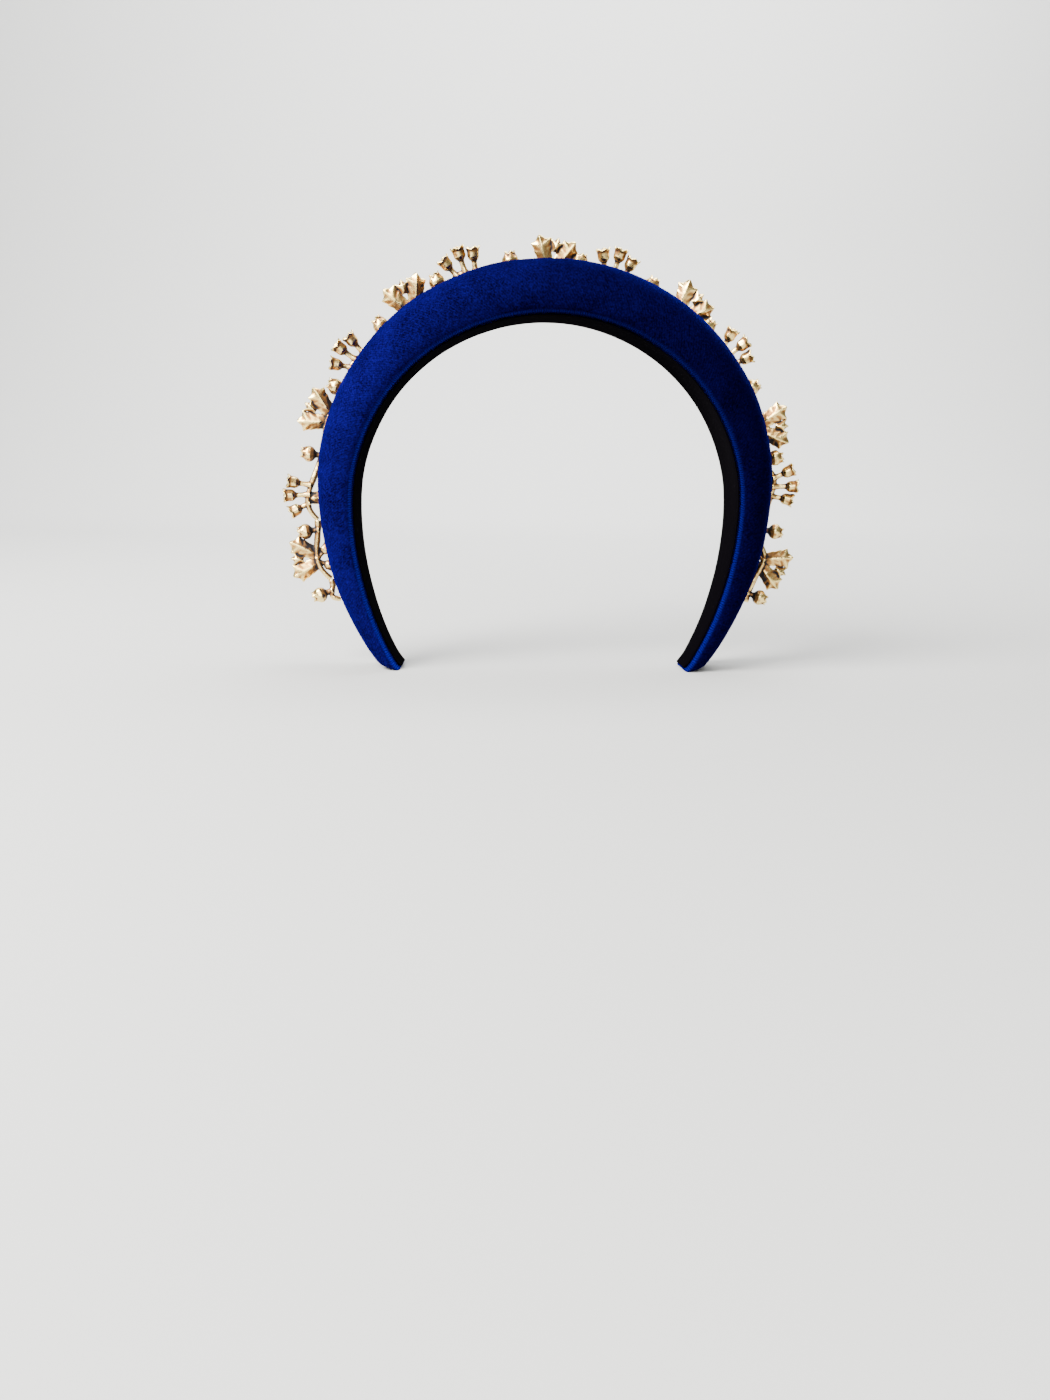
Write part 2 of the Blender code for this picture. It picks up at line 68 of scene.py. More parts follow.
# Form of the padded band: its outline from the front, then its section
bandForm = {
    "crownHeight": 0.164,
    "span": 0.1866,
    "widestHeight": 0.075,
    "sideRadius": 0.130,
    "crownThickness": 0.0210,
    "tipThickness": 0.0072,
    "crownDepth": 0.0420,
    "tipDepth": 0.0210,
    "edgeHeight": 0.26,  # share of the thickness where the section is deepest
    "domeFullness": 2.3,
    "baseFullness": 5.0,
    "restLean": math.radians(3.0),
}

# How the padding tapers: share of the half length, then shares between tip and crown size
padTaper = (
    {"along": 0.00, "thickness": 1.00, "depth": 1.00},
    {"along": 0.16, "thickness": 0.98, "depth": 0.99},
    {"along": 0.32, "thickness": 0.90, "depth": 0.92},
    {"along": 0.50, "thickness": 0.75, "depth": 0.77},
    {"along": 0.64, "thickness": 0.57, "depth": 0.58},
    {"along": 0.75, "thickness": 0.44, "depth": 0.40},
    {"along": 0.84, "thickness": 0.31, "depth": 0.25},
    {"along": 0.92, "thickness": 0.16, "depth": 0.12},
    {"along": 1.00, "thickness": 0.00, "depth": 0.00},
)

restNormal = Vector((0.0, -math.sin(bandForm["restLean"]), math.cos(bandForm["restLean"])))


def readTable(table, column, share):
    # smooth curve through the rows of a table
    places = [row["along"] for row in table]
    values = [row[column] for row in table]
    share = min(max(share, places[0]), places[-1])
    last = len(table) - 1
    left = max(i for i in range(last) if places[i] <= share)
    span = places[left + 1] - places[left]

    def slope(i):
        before, after = max(i - 1, 0), min(i + 1, last)
        return (values[after] - values[before]) / (places[after] - places[before])

    t = (share - places[left]) / span
    start = (2 * t**3 - 3 * t**2 + 1) * values[left] + (t**3 - 2 * t**2 + t) * span * slope(left)
    end = (3 * t**2 - 2 * t**3) * values[left + 1] + (t**3 - t**2) * span * slope(left + 1)
    return start + end


def crestTable(samples=400):
    # columns: crest length, x, z, outward normal x, outward normal z
    halfSpan = bandForm["span"] / 2
    rise = bandForm["crownHeight"] - bandForm["widestHeight"]
    radius = bandForm["sideRadius"]
    pastFloor = bandForm["tipThickness"] + bandForm["tipDepth"] * math.sin(bandForm["restLean"])
    turns = np.linspace(0.0, math.pi / 2, samples + 1)
    top = np.column_stack((
        halfSpan * np.sin(turns), bandForm["widestHeight"] + rise * np.cos(turns),
        np.sin(turns) / halfSpan, np.cos(turns) / rise))
    lastTurn = math.asin((bandForm["widestHeight"] + pastFloor) / radius)
    turns = np.linspace(0.0, lastTurn, samples + 1)[1:]
    side = np.column_stack((
        halfSpan - radius * (1 - np.cos(turns)), bandForm["widestHeight"] - radius * np.sin(turns),
        np.cos(turns), -np.sin(turns)))
    rows = np.vstack((top, side))
    rows[:, 2:] /= np.linalg.norm(rows[:, 2:], axis=1)[:, None]
    steps = np.hypot(*np.diff(rows[:, :2], axis=0).T)
    return np.column_stack((np.concatenate(([0.0], np.cumsum(steps))), rows))


crest = crestTable()
fullLength = float(crest[-1, 0])
halfLength = float(crest[crest[:, 2] >= 0.0, 0].max())


def crestAt(s):
    # crest point and outward normal at signed crest length s
    reach = min(abs(s), fullLength)
    side = -1.0 if s < 0 else 1.0
    x, z, nx, nz = (float(np.interp(reach, crest[:, 0], crest[:, i])) for i in range(1, 5))
    return Vector((side * x, 0.0, z)), Vector((side * nx, 0.0, nz)).normalized()


def alongBand(s, step=1e-4):
    return (crestAt(s + step)[0] - crestAt(s - step)[0]).normalized()


def padThickness(s):
    share = readTable(padTaper, "thickness", abs(s) / halfLength)
    return bandForm["tipThickness"] + (bandForm["crownThickness"] - bandForm["tipThickness"]) * share


def padDepth(s):
    share = readTable(padTaper, "depth", abs(s) / halfLength)
    return bandForm["tipDepth"] + (bandForm["crownDepth"] - bandForm["tipDepth"]) * share


def sectionPoint(s, angle):
    # (y, height above the inner face) on the padded section; 90 degrees is the crest
    thickness, halfDepth = padThickness(s), padDepth(s) / 2
    across, up = math.cos(angle), math.sin(angle)
    edge = thickness * bandForm["edgeHeight"]
    fullness = bandForm["domeFullness"] if up >= 0 else bandForm["baseFullness"]
    y = math.copysign(halfDepth * abs(across) ** (2 / fullness), across)
    rise = abs(up) ** (2 / fullness)
    return (y, edge + (thickness - edge) * rise) if up >= 0 else (y, edge * (1 - rise))


def bandPoint(s, y, height):
    point, normal = crestAt(s)
    return point + normal * (height - padThickness(s)) + Vector((0.0, y, 0.0))


def domeAt(s, angle, step=1e-4):
    # point on the velvet and its outward normal, in the plane of the section
    y, height = sectionPoint(s, angle)
    before, after = sectionPoint(s, angle - step), sectionPoint(s, angle + step)
    outward = crestAt(s)[1]
    normal = Vector((0.0, after[1] - before[1], 0.0)) - outward * (after[0] - before[0])
    return bandPoint(s, y, height), normal.normalized()


def standMatrix():
    # the band leans back on its tips; the frame's box says where it stands
    lean = Matrix.Rotation(-bandForm["restLean"], 4, "X")
    deepest = [lean @ bandPoint(0.0, *sectionPoint(0.0, angle)) for angle in (0.0, math.pi)]
    low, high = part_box("padded_band")
    middle = (low + high) / 2
    y = (high.y - max(p.y for p in deepest) + low.y - min(p.y for p in deepest)) / 2
    return Matrix.Translation((middle.x, y, 0.0)) @ lean


stand = standMatrix()


# Node building: one output of a node, with arithmetic that adds Math nodes
class Wire:
    def __init__(self, recipe, socket):
        self.recipe = recipe
        self.socket = socket

    def math(self, operation, first, second):
        return self.recipe.node("ShaderNodeMath", {"operation": operation}, {0: first, 1: second})

    def __add__(self, other):
        return self.math("ADD", self, other)

    def __radd__(self, other):
        return self.math("ADD", other, self)

    def __sub__(self, other):
        return self.math("SUBTRACT", self, other)

    def __rsub__(self, other):
        return self.math("SUBTRACT", other, self)

    def __mul__(self, other):
        return self.math("MULTIPLY", self, other)

    def __rmul__(self, other):
        return self.math("MULTIPLY", other, self)

    def clipped(self, low, high):
        # 0 at low, 1 at high, and no further
        return self.recipe.node("ShaderNodeMapRange", {"clamp": True}, {0: self, 1: low, 2: high})


class Recipe:
    def __init__(self, tree):
        self.tree = tree

    def node(self, kind, settings=None, sockets=None, output=0):
        made = self.tree.nodes.new(kind)
        for name, value in (settings or {}).items():
            if name == "stops":
                ramp = made.color_ramp
                while len(ramp.elements) < len(value):
                    ramp.elements.new(1.0)
                for element, (place, colour) in zip(ramp.elements, value):
                    element.position = place
                    element.color = (*colour, 1.0)
            else:
                setattr(made, name, value)
        for name, value in (sockets or {}).items():
            if isinstance(value, Wire):
                self.tree.links.new(value.socket, made.inputs[name])
            else:
                made.inputs[name].default_value = value
        return Wire(self, made.outputs[output])

    def mixed(self, factor, first, second, blend="MIX"):
        # colour mix; plain colours are given as three numbers
        ends = [v if isinstance(v, Wire) else (*v, 1.0) for v in (first, second)]
        return self.node("ShaderNodeMix", {"data_type": "RGBA", "blend_type": blend},
                         {0: factor, 6: ends[0], 7: ends[1]}, output=2)


def newMaterial(name, surface):
    # surface: constant sockets of the Principled shader by name
    material = bpy.data.materials.new(name)
    material.use_nodes = True
    shader = material.node_tree.nodes["Principled BSDF"]
    for socket, value in surface.items():
        shader.inputs[socket].default_value = value
    return material, Recipe(material.node_tree), shader


def plug(recipe, shader, **links):
    for name, wire in links.items():
        recipe.tree.links.new(wire.socket, shader.inputs[name.replace("_", " ")])


def newTree(name, inputs):
    # a Geometry Nodes group with named inputs; gives the recipe, the input wires and their ids
    tree = bpy.data.node_groups.new(name, "GeometryNodeTree")
    tree.interface.new_socket("Geometry", in_out="OUTPUT", socket_type="NodeSocketGeometry")
    identifiers = {}
    for label, kind in {"Geometry": "NodeSocketGeometry", **inputs}.items():
        identifiers[label] = tree.interface.new_socket(label, in_out="INPUT", socket_type=kind).identifier
    entry = tree.nodes.new("NodeGroupInput")
    recipe = Recipe(tree)
    wires = {label: Wire(recipe, entry.outputs[i]) for i, label in enumerate(identifiers)}
    return recipe, wires, identifiers


def closeTree(recipe, geometry, finish):
    # every tree ends in Realize Instances and Set Material
    realized = recipe.node("GeometryNodeRealizeInstances", None, {0: geometry})
    dressed = recipe.node("GeometryNodeSetMaterial", None, {"Geometry": realized, "Material": finish})
    exitNode = recipe.tree.nodes.new("NodeGroupOutput")
    recipe.tree.links.new(dressed.socket, exitNode.inputs[0])


def growMesh(name, source, recipe, identifiers, values):
    # runs a tree on a mesh and keeps the result as a plain mesh
    carrier = bpy.data.objects.new(name, source)
    bpy.context.collection.objects.link(carrier)
    modifier = carrier.modifiers.new("grow", "NODES")
    modifier.node_group = recipe.tree
    for label, value in values.items():
        modifier[identifiers[label]] = value
    carrier.update_tag()
    bpy.context.view_layer.update()
    evaluated = carrier.evaluated_get(bpy.context.evaluated_depsgraph_get())
    grown = bpy.data.meshes.new_from_object(evaluated)
    carrier.modifiers.remove(modifier)
    bpy.data.objects.remove(carrier, do_unlink=True)
    grown.name = name
    return grown


def addPiece(name, mesh, materialSlot, *nodes):
    piece = bpy.data.objects.new(name, mesh)
    bpy.context.collection.objects.link(piece)
    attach(piece, "root")
    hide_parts(*nodes)
    return piece


def meshPoints(mesh):
    points = np.zeros(len(mesh.vertices) * 3)
    mesh.vertices.foreach_get("co", points)
    return points.reshape(-1, 3)


def setMeshPoints(mesh, points):
    mesh.vertices.foreach_set("co", np.asarray(points, float).ravel())
    mesh.update()


def setPointValues(mesh, name, values):
    attribute = mesh.attributes.new(name, "FLOAT", "POINT")
    attribute.data.foreach_set("value", np.asarray(values, np.float32))


# Velvet cover
velvetCover = {
    "stations": 190,
    "sides": 60,
    "outerFootRadius": 0.0040,  # the velvet is tucked round at each tip
    "innerFootRadius": 0.0012,
    "footRings": 6,
    "heldHeight": 0.0030,  # above the inner face, where the lining holds the fabric
    "heldFoot": 0.0050,  # above the floor
    "startInset": 0.00035,  # the fabric starts this far inside, and the wadding swells it
    "swellLimit": 0.0008,
    "pressure": 700.0,
    "swellFrames": 12,
    "lumpHeight": 0.00035,  # soft unevenness of the wadding
    "lumpSize": 0.022,
    "dentsFrom": 0.18,  # crest length past which there are dents
    "turnedEdge": 0.0015,  # width of the turned edge beside the lining, which gets a painted sheen highlight
}

# Shallow dents: crest length, section share, then length, width and depth
velvetDents = (
    {"s": 0.2055, "share": 0.30, "length": 0.0100, "width": 0.0016, "depth": 0.00045},
    {"s": 0.1990, "share": 0.36, "length": 0.0080, "width": 0.0014, "depth": 0.00030},
    {"s": -0.2070, "share": 0.33, "length": 0.0090, "width": 0.0016, "depth": 0.00030},
)

sectionAngles = np.linspace(-math.pi / 2, 1.5 * math.pi, 361)


def evenSection(s, sides):
    # the section's outline from the middle of the inner face, in even steps round it
    across, up = np.cos(sectionAngles), np.sin(sectionAngles)
    thickness, halfDepth = padThickness(s), padDepth(s) / 2
    edge = thickness * bandForm["edgeHeight"]
    dome, base = 2 / bandForm["domeFullness"], 2 / bandForm["baseFullness"]
    power = np.where(up >= 0, dome, base)
    y = np.sign(across) * halfDepth * np.abs(across) ** power
    rise = np.abs(up) ** power
    height = np.where(up >= 0, edge + (thickness - edge) * rise, edge * (1 - rise))
    lengths = np.concatenate(([0.0], np.cumsum(np.hypot(np.diff(y), np.diff(height)))))
    wanted = np.arange(sides) / sides * lengths[-1]
    return np.interp(wanted, lengths, y), np.interp(wanted, lengths, height), lengths[-1]


def sectionPoints(s, sides):
    y, height, girth = evenSection(s, sides)
    point, normal = crestAt(s)
    rise = (height - padThickness(s))[:, None]
    return np.array(point) + rise * np.array(normal) + np.outer(y, (0.0, 1.0, 0.0)), y, height, girth


def footCurves(side, sides, samples=40):
    # for each column of the cover: crest lengths against height above the rest plane
    lengths = np.linspace(halfLength - 0.040, fullLength, samples)
    heights = np.array([sectionPoints(side * s, sides)[0] @ np.array(restNormal) for s in lengths])
    return lengths, heights


def coverRows():
    # rows of the cover: crest length and inset of each column, in order from -X tip to +X tip
    sides = velvetCover["sides"]
    _, height, _ = evenSection(halfLength, sides)
    outward = np.clip(height / bandForm["tipThickness"], 0.0, 1.0)
    radius = velvetCover["innerFootRadius"] * (1 - outward) + velvetCover["outerFootRadius"] * outward
    halves = {}
    for side in (-1.0, 1.0):
        lengths, heights = footCurves(side, sides)

        def lengthAt(drop):
            return np.array([np.interp(-drop[k], -heights[:, k], lengths) for k in range(sides)])

        rows = [(lengthAt(radius), np.zeros(sides))]
        for i in range(1, velvetCover["footRings"] + 1):
            turn = math.pi / 2 * i / velvetCover["footRings"]
            rows.append((lengthAt(radius * (1 - math.sin(turn))), radius * (1 - math.cos(turn))))
        halves[side] = rows
    middle = []
    for i in range(1, velvetCover["stations"]):
        t = 2 * i / velvetCover["stations"] - 1
        tops = halves[math.copysign(1.0, t)][0][0]
        reach = abs(t) * halfLength * 0.97 + (tops - halfLength * 0.97) * abs(t) ** 8
        middle.append((math.copysign(1.0, t) * reach, np.zeros(sides)))
    low = [(-lengths, inset) for lengths, inset in reversed(halves[-1.0])]
    return low + middle + halves[1.0]


def coverGrid():
    # points, crest lengths, girth shares and heights of the cover's columns
    sides = velvetCover["sides"]
    points, places, heights = [], [], []
    for lengths, inset in coverRows():
        row, rowHeights = [], []
        for k, s in enumerate(lengths):
            ring, y, height, _ = sectionPoints(s, sides)
            spine = np.array(bandPoint(s, 0.6 * y[k], 0.25 * padThickness(s)))
            inward = spine - ring[k]
            inward /= np.linalg.norm(inward)
            row.append(ring[k] + inward * inset[k])
            rowHeights.append(height[k])
        points.append(row)
        places.append(lengths)
        heights.append(rowHeights)
    return np.array(points), np.array(places), np.array(heights)


def coverMesh(points, places, girths):
    # closed skin over the grid, with a fan at each foot and a UV map in metres
    rows, sides = points.shape[:2]
    flat = points.reshape(-1, 3)
    centres = [points[0].mean(axis=0), points[-1].mean(axis=0)]
    inner = [(points[0] + centres[0]) / 2, (points[-1] + centres[1]) / 2]
    verts = np.vstack((flat, inner[0], inner[1], centres))
    lowRing, highRing = rows * sides, (rows + 1) * sides
    lowCentre, highCentre = (rows + 2) * sides, (rows + 2) * sides + 1
    faces, uvs = [], []

    def corner(row, k):
        return places[row, k % sides], girths[row] * k / sides

    for row in range(rows - 1):
        for k in range(sides):
            a, b = row * sides + k, row * sides + (k + 1) % sides
            faces.append((a, b, b + sides, a + sides))
            uvs.append((corner(row, k), corner(row, k + 1), corner(row + 1, k + 1), corner(row + 1, k)))
    for row, ring, centre in ((0, lowRing, lowCentre), (rows - 1, highRing, highCentre)):
        for k in range(sides):
            a, b = row * sides + k, row * sides + (k + 1) % sides
            c, d = ring + k, ring + (k + 1) % sides
            faces += [(b, a, c, d), (d, c, centre)] if row == 0 else [(a, b, d, c), (c, d, centre)]
            uvs += [tuple(corner(row, k) for _ in range(4)), tuple(corner(row, k) for _ in range(3))]
    mesh = bpy.data.meshes.new("velvetCover")
    mesh.from_pydata(verts.tolist(), [], faces)
    layer = mesh.uv_layers.new(name="UVMap")
    layer.data.foreach_set("uv", [value for face in uvs for place in face for value in place])
    mesh.shade_smooth()
    return mesh


def swell(mesh, held):
    # cloth under gentle pressure, held where the lining and the foot keep it
    body = bpy.data.objects.new("swelling", mesh.copy())
    bpy.context.collection.objects.link(body)
    group = body.vertex_groups.new(name="held")
    for i, weight in enumerate(held):
        group.add([i], float(weight), "REPLACE")
    cloth = body.modifiers.new("Cloth", "CLOTH")
    settings = cloth.settings
    settings.quality = 6
    settings.mass = 0.15
    settings.tension_stiffness = settings.compression_stiffness = 6
    settings.shear_stiffness = 3
    settings.bending_stiffness = 0.3
    settings.use_pressure = True
    settings.uniform_pressure_force = velvetCover["pressure"]
    settings.vertex_group_mass = "held"
    settings.effector_weights.gravity = 0.0
    cloth.collision_settings.use_collision = False
    cloth.point_cache.frame_start, cloth.point_cache.frame_end = 1, velvetCover["swellFrames"]
    scene = bpy.context.scene
    for number in range(1, velvetCover["swellFrames"] + 1):
        scene.frame_set(number)
    evaluated = body.evaluated_get(bpy.context.evaluated_depsgraph_get())
    swollen = meshPoints(evaluated.data).copy()
    scene.frame_set(1)
    bpy.data.objects.remove(body, do_unlink=True)
    return swollen


def meshNormals(mesh):
    normals = np.zeros(len(mesh.vertices) * 3)
    mesh.vertex_normals.foreach_get("vector", normals)
    return normals.reshape(-1, 3)


def dentDepth(place, share, side):
    # how far the cover is pressed in at a crest length and girth share
    depth = 0.0
    for dent in velvetDents:
        along = (place - dent["s"]) / dent["length"]
        across = (share - dent["share"]) * side / dent["width"]
        depth += dent["depth"] * math.exp(-(along**2) - across**2)
    return depth


def holdWeights(target, heights):
    # 1 where the lining and the feet hold the cover, 0 where the wadding can swell it
    held = np.ones(len(target))
    grid = heights.size
    held[:grid] = np.clip(1.0 - heights.ravel() / velvetCover["heldHeight"], 0.0, 1.0)
    footDistance = target @ np.array(restNormal)
    return np.maximum(held, np.clip(1.0 - footDistance / velvetCover["heldFoot"], 0.0, 1.0))


def swollenPoints(mesh, target, normals, held):
    free = (1.0 - held)[:, None]
    start = target - normals * velvetCover["startInset"] * free
    setMeshPoints(mesh, start)
    move = swell(mesh, held) - start
    length = np.linalg.norm(move, axis=1)
    print("velvet swelled by up to %.2f mm" % (1000 * length.max()))
    move *= (np.minimum(length, velvetCover["swellLimit"]) / np.maximum(length, 1e-9))[:, None]
    return start + move * free


def unevenness(target, places, girths, free):
    # soft lumps everywhere and a few dents near the tips, along the normals
    lumps = np.array([noise.noise(Vector(p) / velvetCover["lumpSize"]) for p in target])
    shift = lumps * velvetCover["lumpHeight"] * free
    sides = places.shape[1]
    for i, place in enumerate(places.ravel()):
        if abs(place) > velvetCover["dentsFrom"]:
            shift[i] -= dentDepth(place, i % sides / sides, girths[i // sides])
    return shift


def buildVelvetCover():
    points, places, heights = coverGrid()
    rows, sides = places.shape
    girths = np.array([evenSection(places[row].mean(), sides)[2] for row in range(rows)])
    mesh = coverMesh(points, places, girths)
    target = meshPoints(mesh).copy()
    normals = meshNormals(mesh).copy()
    held = holdWeights(target, heights)
    settled = swollenPoints(mesh, target, normals, held)
    settled = settled + normals * unevenness(target, places, girths, 1.0 - held)[:, None]
    below = np.minimum(settled @ np.array(restNormal), 0.0)
    setMeshPoints(mesh, settled - np.outer(below, restNormal))
    # mask of the turned edge beside the lining, where the colour gets a painted sheen highlight
    turned = np.zeros(len(target))
    turned[:heights.size] = np.clip(1.0 - heights.ravel() / velvetCover["turnedEdge"], 0.0, 1.0)
    setPointValues(mesh, "turnedEdge", turned)
    mesh.transform(stand)
    return mesh


def paintedNapShade(recipe, uv):
    # painted light and shade along the band: the colour is darker over the crown and the -X half and lighter
    # towards the +X tip, standing in for the pile, brushed towards +X, catching the light at that end
    along = recipe.node("ShaderNodeSeparateXYZ", None, {0: uv})
    return recipe.node("ShaderNodeValToRGB", {"stops": (
        (0.0, (0.34, 0.34, 0.34)), (0.25, (0.22, 0.22, 0.22)), (0.5, (0.42, 0.42, 0.42)),
        (0.75, (0.92, 0.92, 0.92)), (1.0, (1.0, 1.0, 1.0)))}, {0: along.clipped(-0.20, 0.20)})


def velvetMaterial():
    material, recipe, shader = newMaterial("blueVelvet", {
        "Specular IOR Level": 0.0,
        "Sheen Weight": 0.34,
        "Sheen Roughness": 0.26,
        "Sheen Tint": (0.008, 0.003, 0.40, 1.0),
    })
    uv = recipe.node("ShaderNodeUVMap", {"uv_map": "UVMap"})
    place = recipe.node("ShaderNodeTexCoord", None, None, output="Object")
    turned = recipe.node("ShaderNodeAttribute", {"attribute_name": "turnedEdge"}, None, output="Fac")
    diagonal = recipe.node("ShaderNodeMapping", None, {
        "Vector": uv, "Rotation": (0.0, 0.0, math.radians(38.0)), "Scale": (1.0, 1.0, 1.0)})
    twill = recipe.node("ShaderNodeTexWave", {"wave_profile": "SIN"}, {
        "Vector": diagonal, "Scale": 300.0, "Distortion": 4.0, "Detail": 3.0, "Detail Scale": 4.0},
        output="Fac")
    pile = recipe.node("ShaderNodeTexNoise", None, {
        "Vector": place, "Scale": 2300.0, "Detail": 4.0, "Roughness": 0.75})
    nap = recipe.node("ShaderNodeTexNoise", None, {
        "Vector": place, "Scale": 75.0, "Detail": 4.0, "Roughness": 0.65})
    strokes = recipe.node("ShaderNodeTexWave", {"wave_profile": "SIN", "bands_direction": "X"}, {
        "Vector": uv, "Scale": 300.0, "Distortion": 7.0, "Detail": 2.0}, output="Fac")
    tufts = recipe.node("ShaderNodeTexNoise", None, {
        "Vector": place, "Scale": 1200.0, "Detail": 2.0, "Roughness": 0.6})
    speckle = pile.clipped(0.42, 0.70) * 0.5 + tufts.clipped(0.40, 0.66) * 0.5
    shade = (nap.clipped(0.32, 0.72) * 0.30 + twill * 0.16 + speckle * 0.75).clipped(0.12, 1.0)
    body = recipe.mixed(shade, (0.0006, 0.0001, 0.005), (0.0048, 0.0004, 0.084))
    # painted sheen highlight: the turned edge is painted a much brighter blue, in pile strokes
    edge = recipe.mixed(strokes, (0.0008, 0.0008, 0.060), (0.010, 0.007, 0.36))
    withEdgeSheen = recipe.mixed(turned.clipped(0.15, 0.9), body, edge)
    # the painted light and shade along the band multiplies the whole colour
    colour = recipe.mixed(1.0, withEdgeSheen, paintedNapShade(recipe, uv), "MULTIPLY")
    relief = twill * 0.4 + pile * 0.9 + strokes * turned * 0.8
    bump = recipe.node("ShaderNodeBump", None, {
        "Height": relief, "Strength": 0.6, "Distance": 0.00025})
    plug(recipe, shader, Base_Color=colour, Normal=bump, Roughness=0.8 + pile * 0.2)
    return material


# Pile of the velvet: short leaning tufts
velvetPile = {
    "density": 1.15e6,  # tufts a square metre
    "length": 0.00036,
    "width": 0.00007,
    "nap": (0.25, -0.10, -0.55),
    "lowest": 0.0008,  # no tufts under the feet
    "seed": 7,
}


def pileTree():
    recipe, wires, identifiers = newTree("pileTree", {
        "Density": "NodeSocketFloat", "Length": "NodeSocketFloat", "Width": "NodeSocketFloat",
        "Nap": "NodeSocketVector", "Lowest": "NodeSocketFloat", "Seed": "NodeSocketInt",
        "Finish": "NodeSocketMaterial"})
    scattered = recipe.tree.nodes.new("GeometryNodeDistributePointsOnFaces")
    scattered.distribute_method = "RANDOM"
    for label, socket in (("Geometry", "Mesh"), ("Seed", "Seed")):
        recipe.tree.links.new(wires[label].socket, scattered.inputs[socket])
    recipe.tree.links.new(wires["Density"].socket, scattered.inputs["Density"])
    position = recipe.node("GeometryNodeInputPosition")
    place = recipe.node("ShaderNodeSeparateXYZ", None, {0: position}, output=2)
    clear = recipe.node("FunctionNodeCompare", {"data_type": "FLOAT", "operation": "GREATER_THAN"},
                        {0: place, 1: wires["Lowest"]})
    recipe.tree.links.new(clear.socket, scattered.inputs["Selection"])
    points = Wire(recipe, scattered.outputs["Points"])
    normal = Wire(recipe, scattered.outputs["Normal"])
    leaning = recipe.node("ShaderNodeVectorMath", {"operation": "ADD"}, {0: normal, 1: wires["Nap"]})
    facing = recipe.node("FunctionNodeAlignRotationToVector", {"axis": "Z"}, {"Vector": leaning})
    size = recipe.node("FunctionNodeRandomValue", {"data_type": "FLOAT"}, {
        2: 0.6, 3: 1.15, "Seed": wires["Seed"]}, output=1)
    tuft = recipe.node("GeometryNodeMeshCone", {"fill_type": "NGON"}, {
        "Vertices": 3, "Radius Top": 0.0, "Radius Bottom": wires["Width"], "Depth": wires["Length"]})
    placed = recipe.node("GeometryNodeInstanceOnPoints", None, {
        "Points": points, "Instance": tuft, "Rotation": facing, "Scale": size})
    closeTree(recipe, placed, wires["Finish"])
    return recipe, identifiers


def buildVelvetPile(cover, finish):
    recipe, identifiers = pileTree()
    return growMesh("velvetPile", cover.copy(), recipe, identifiers, {
        "Density": velvetPile["density"], "Length": velvetPile["length"],
        "Width": velvetPile["width"], "Nap": velvetPile["nap"], "Lowest": velvetPile["lowest"],
        "Seed": velvetPile["seed"], "Finish": finish})


def pileMaterial():
    material, recipe, shader = newMaterial("velvetTufts", {
        "Specular IOR Level": 0.0,
        "Sheen Weight": 0.10,
        "Sheen Roughness": 0.3,
        "Sheen Tint": (0.008, 0.003, 0.40, 1.0),
    })
    place = recipe.node("ShaderNodeTexCoord", None, None, output="Object")
    spread = recipe.node("ShaderNodeTexNoise", None, {"Vector": place, "Scale": 900.0, "Detail": 2.0})
    colour = recipe.mixed(spread.clipped(0.3, 0.7), (0.0005, 0.0002, 0.005), (0.0026, 0.0005, 0.060))
    plug(recipe, shader, Base_Color=colour, Roughness=0.7 + spread * 0.25)
    return material


# Lining on the inner face
liningRibbon = {
    "stations": 260,
    "across": 14,
    "thickness": 0.0009,
    "margin": 0.0030,  # bare velvet on each side
    "gap": 0.0003,
    "floorGap": 0.0010,
    "cornerRadius": 0.0022,
    "ripple": 0.00012,  # the ribbon lifts a little between its glued places
    "rippleLength": 0.013,
}


def liningReach(side, y):
    # crest length at which the strip ends, just above the rest plane
    lengths = np.linspace(halfLength - 0.020, fullLength, 60)
    heights = [bandPoint(side * s, y, -liningRibbon["gap"]).dot(restNormal) for s in lengths]
    return float(np.interp(-liningRibbon["floorGap"], -np.array(heights), lengths))


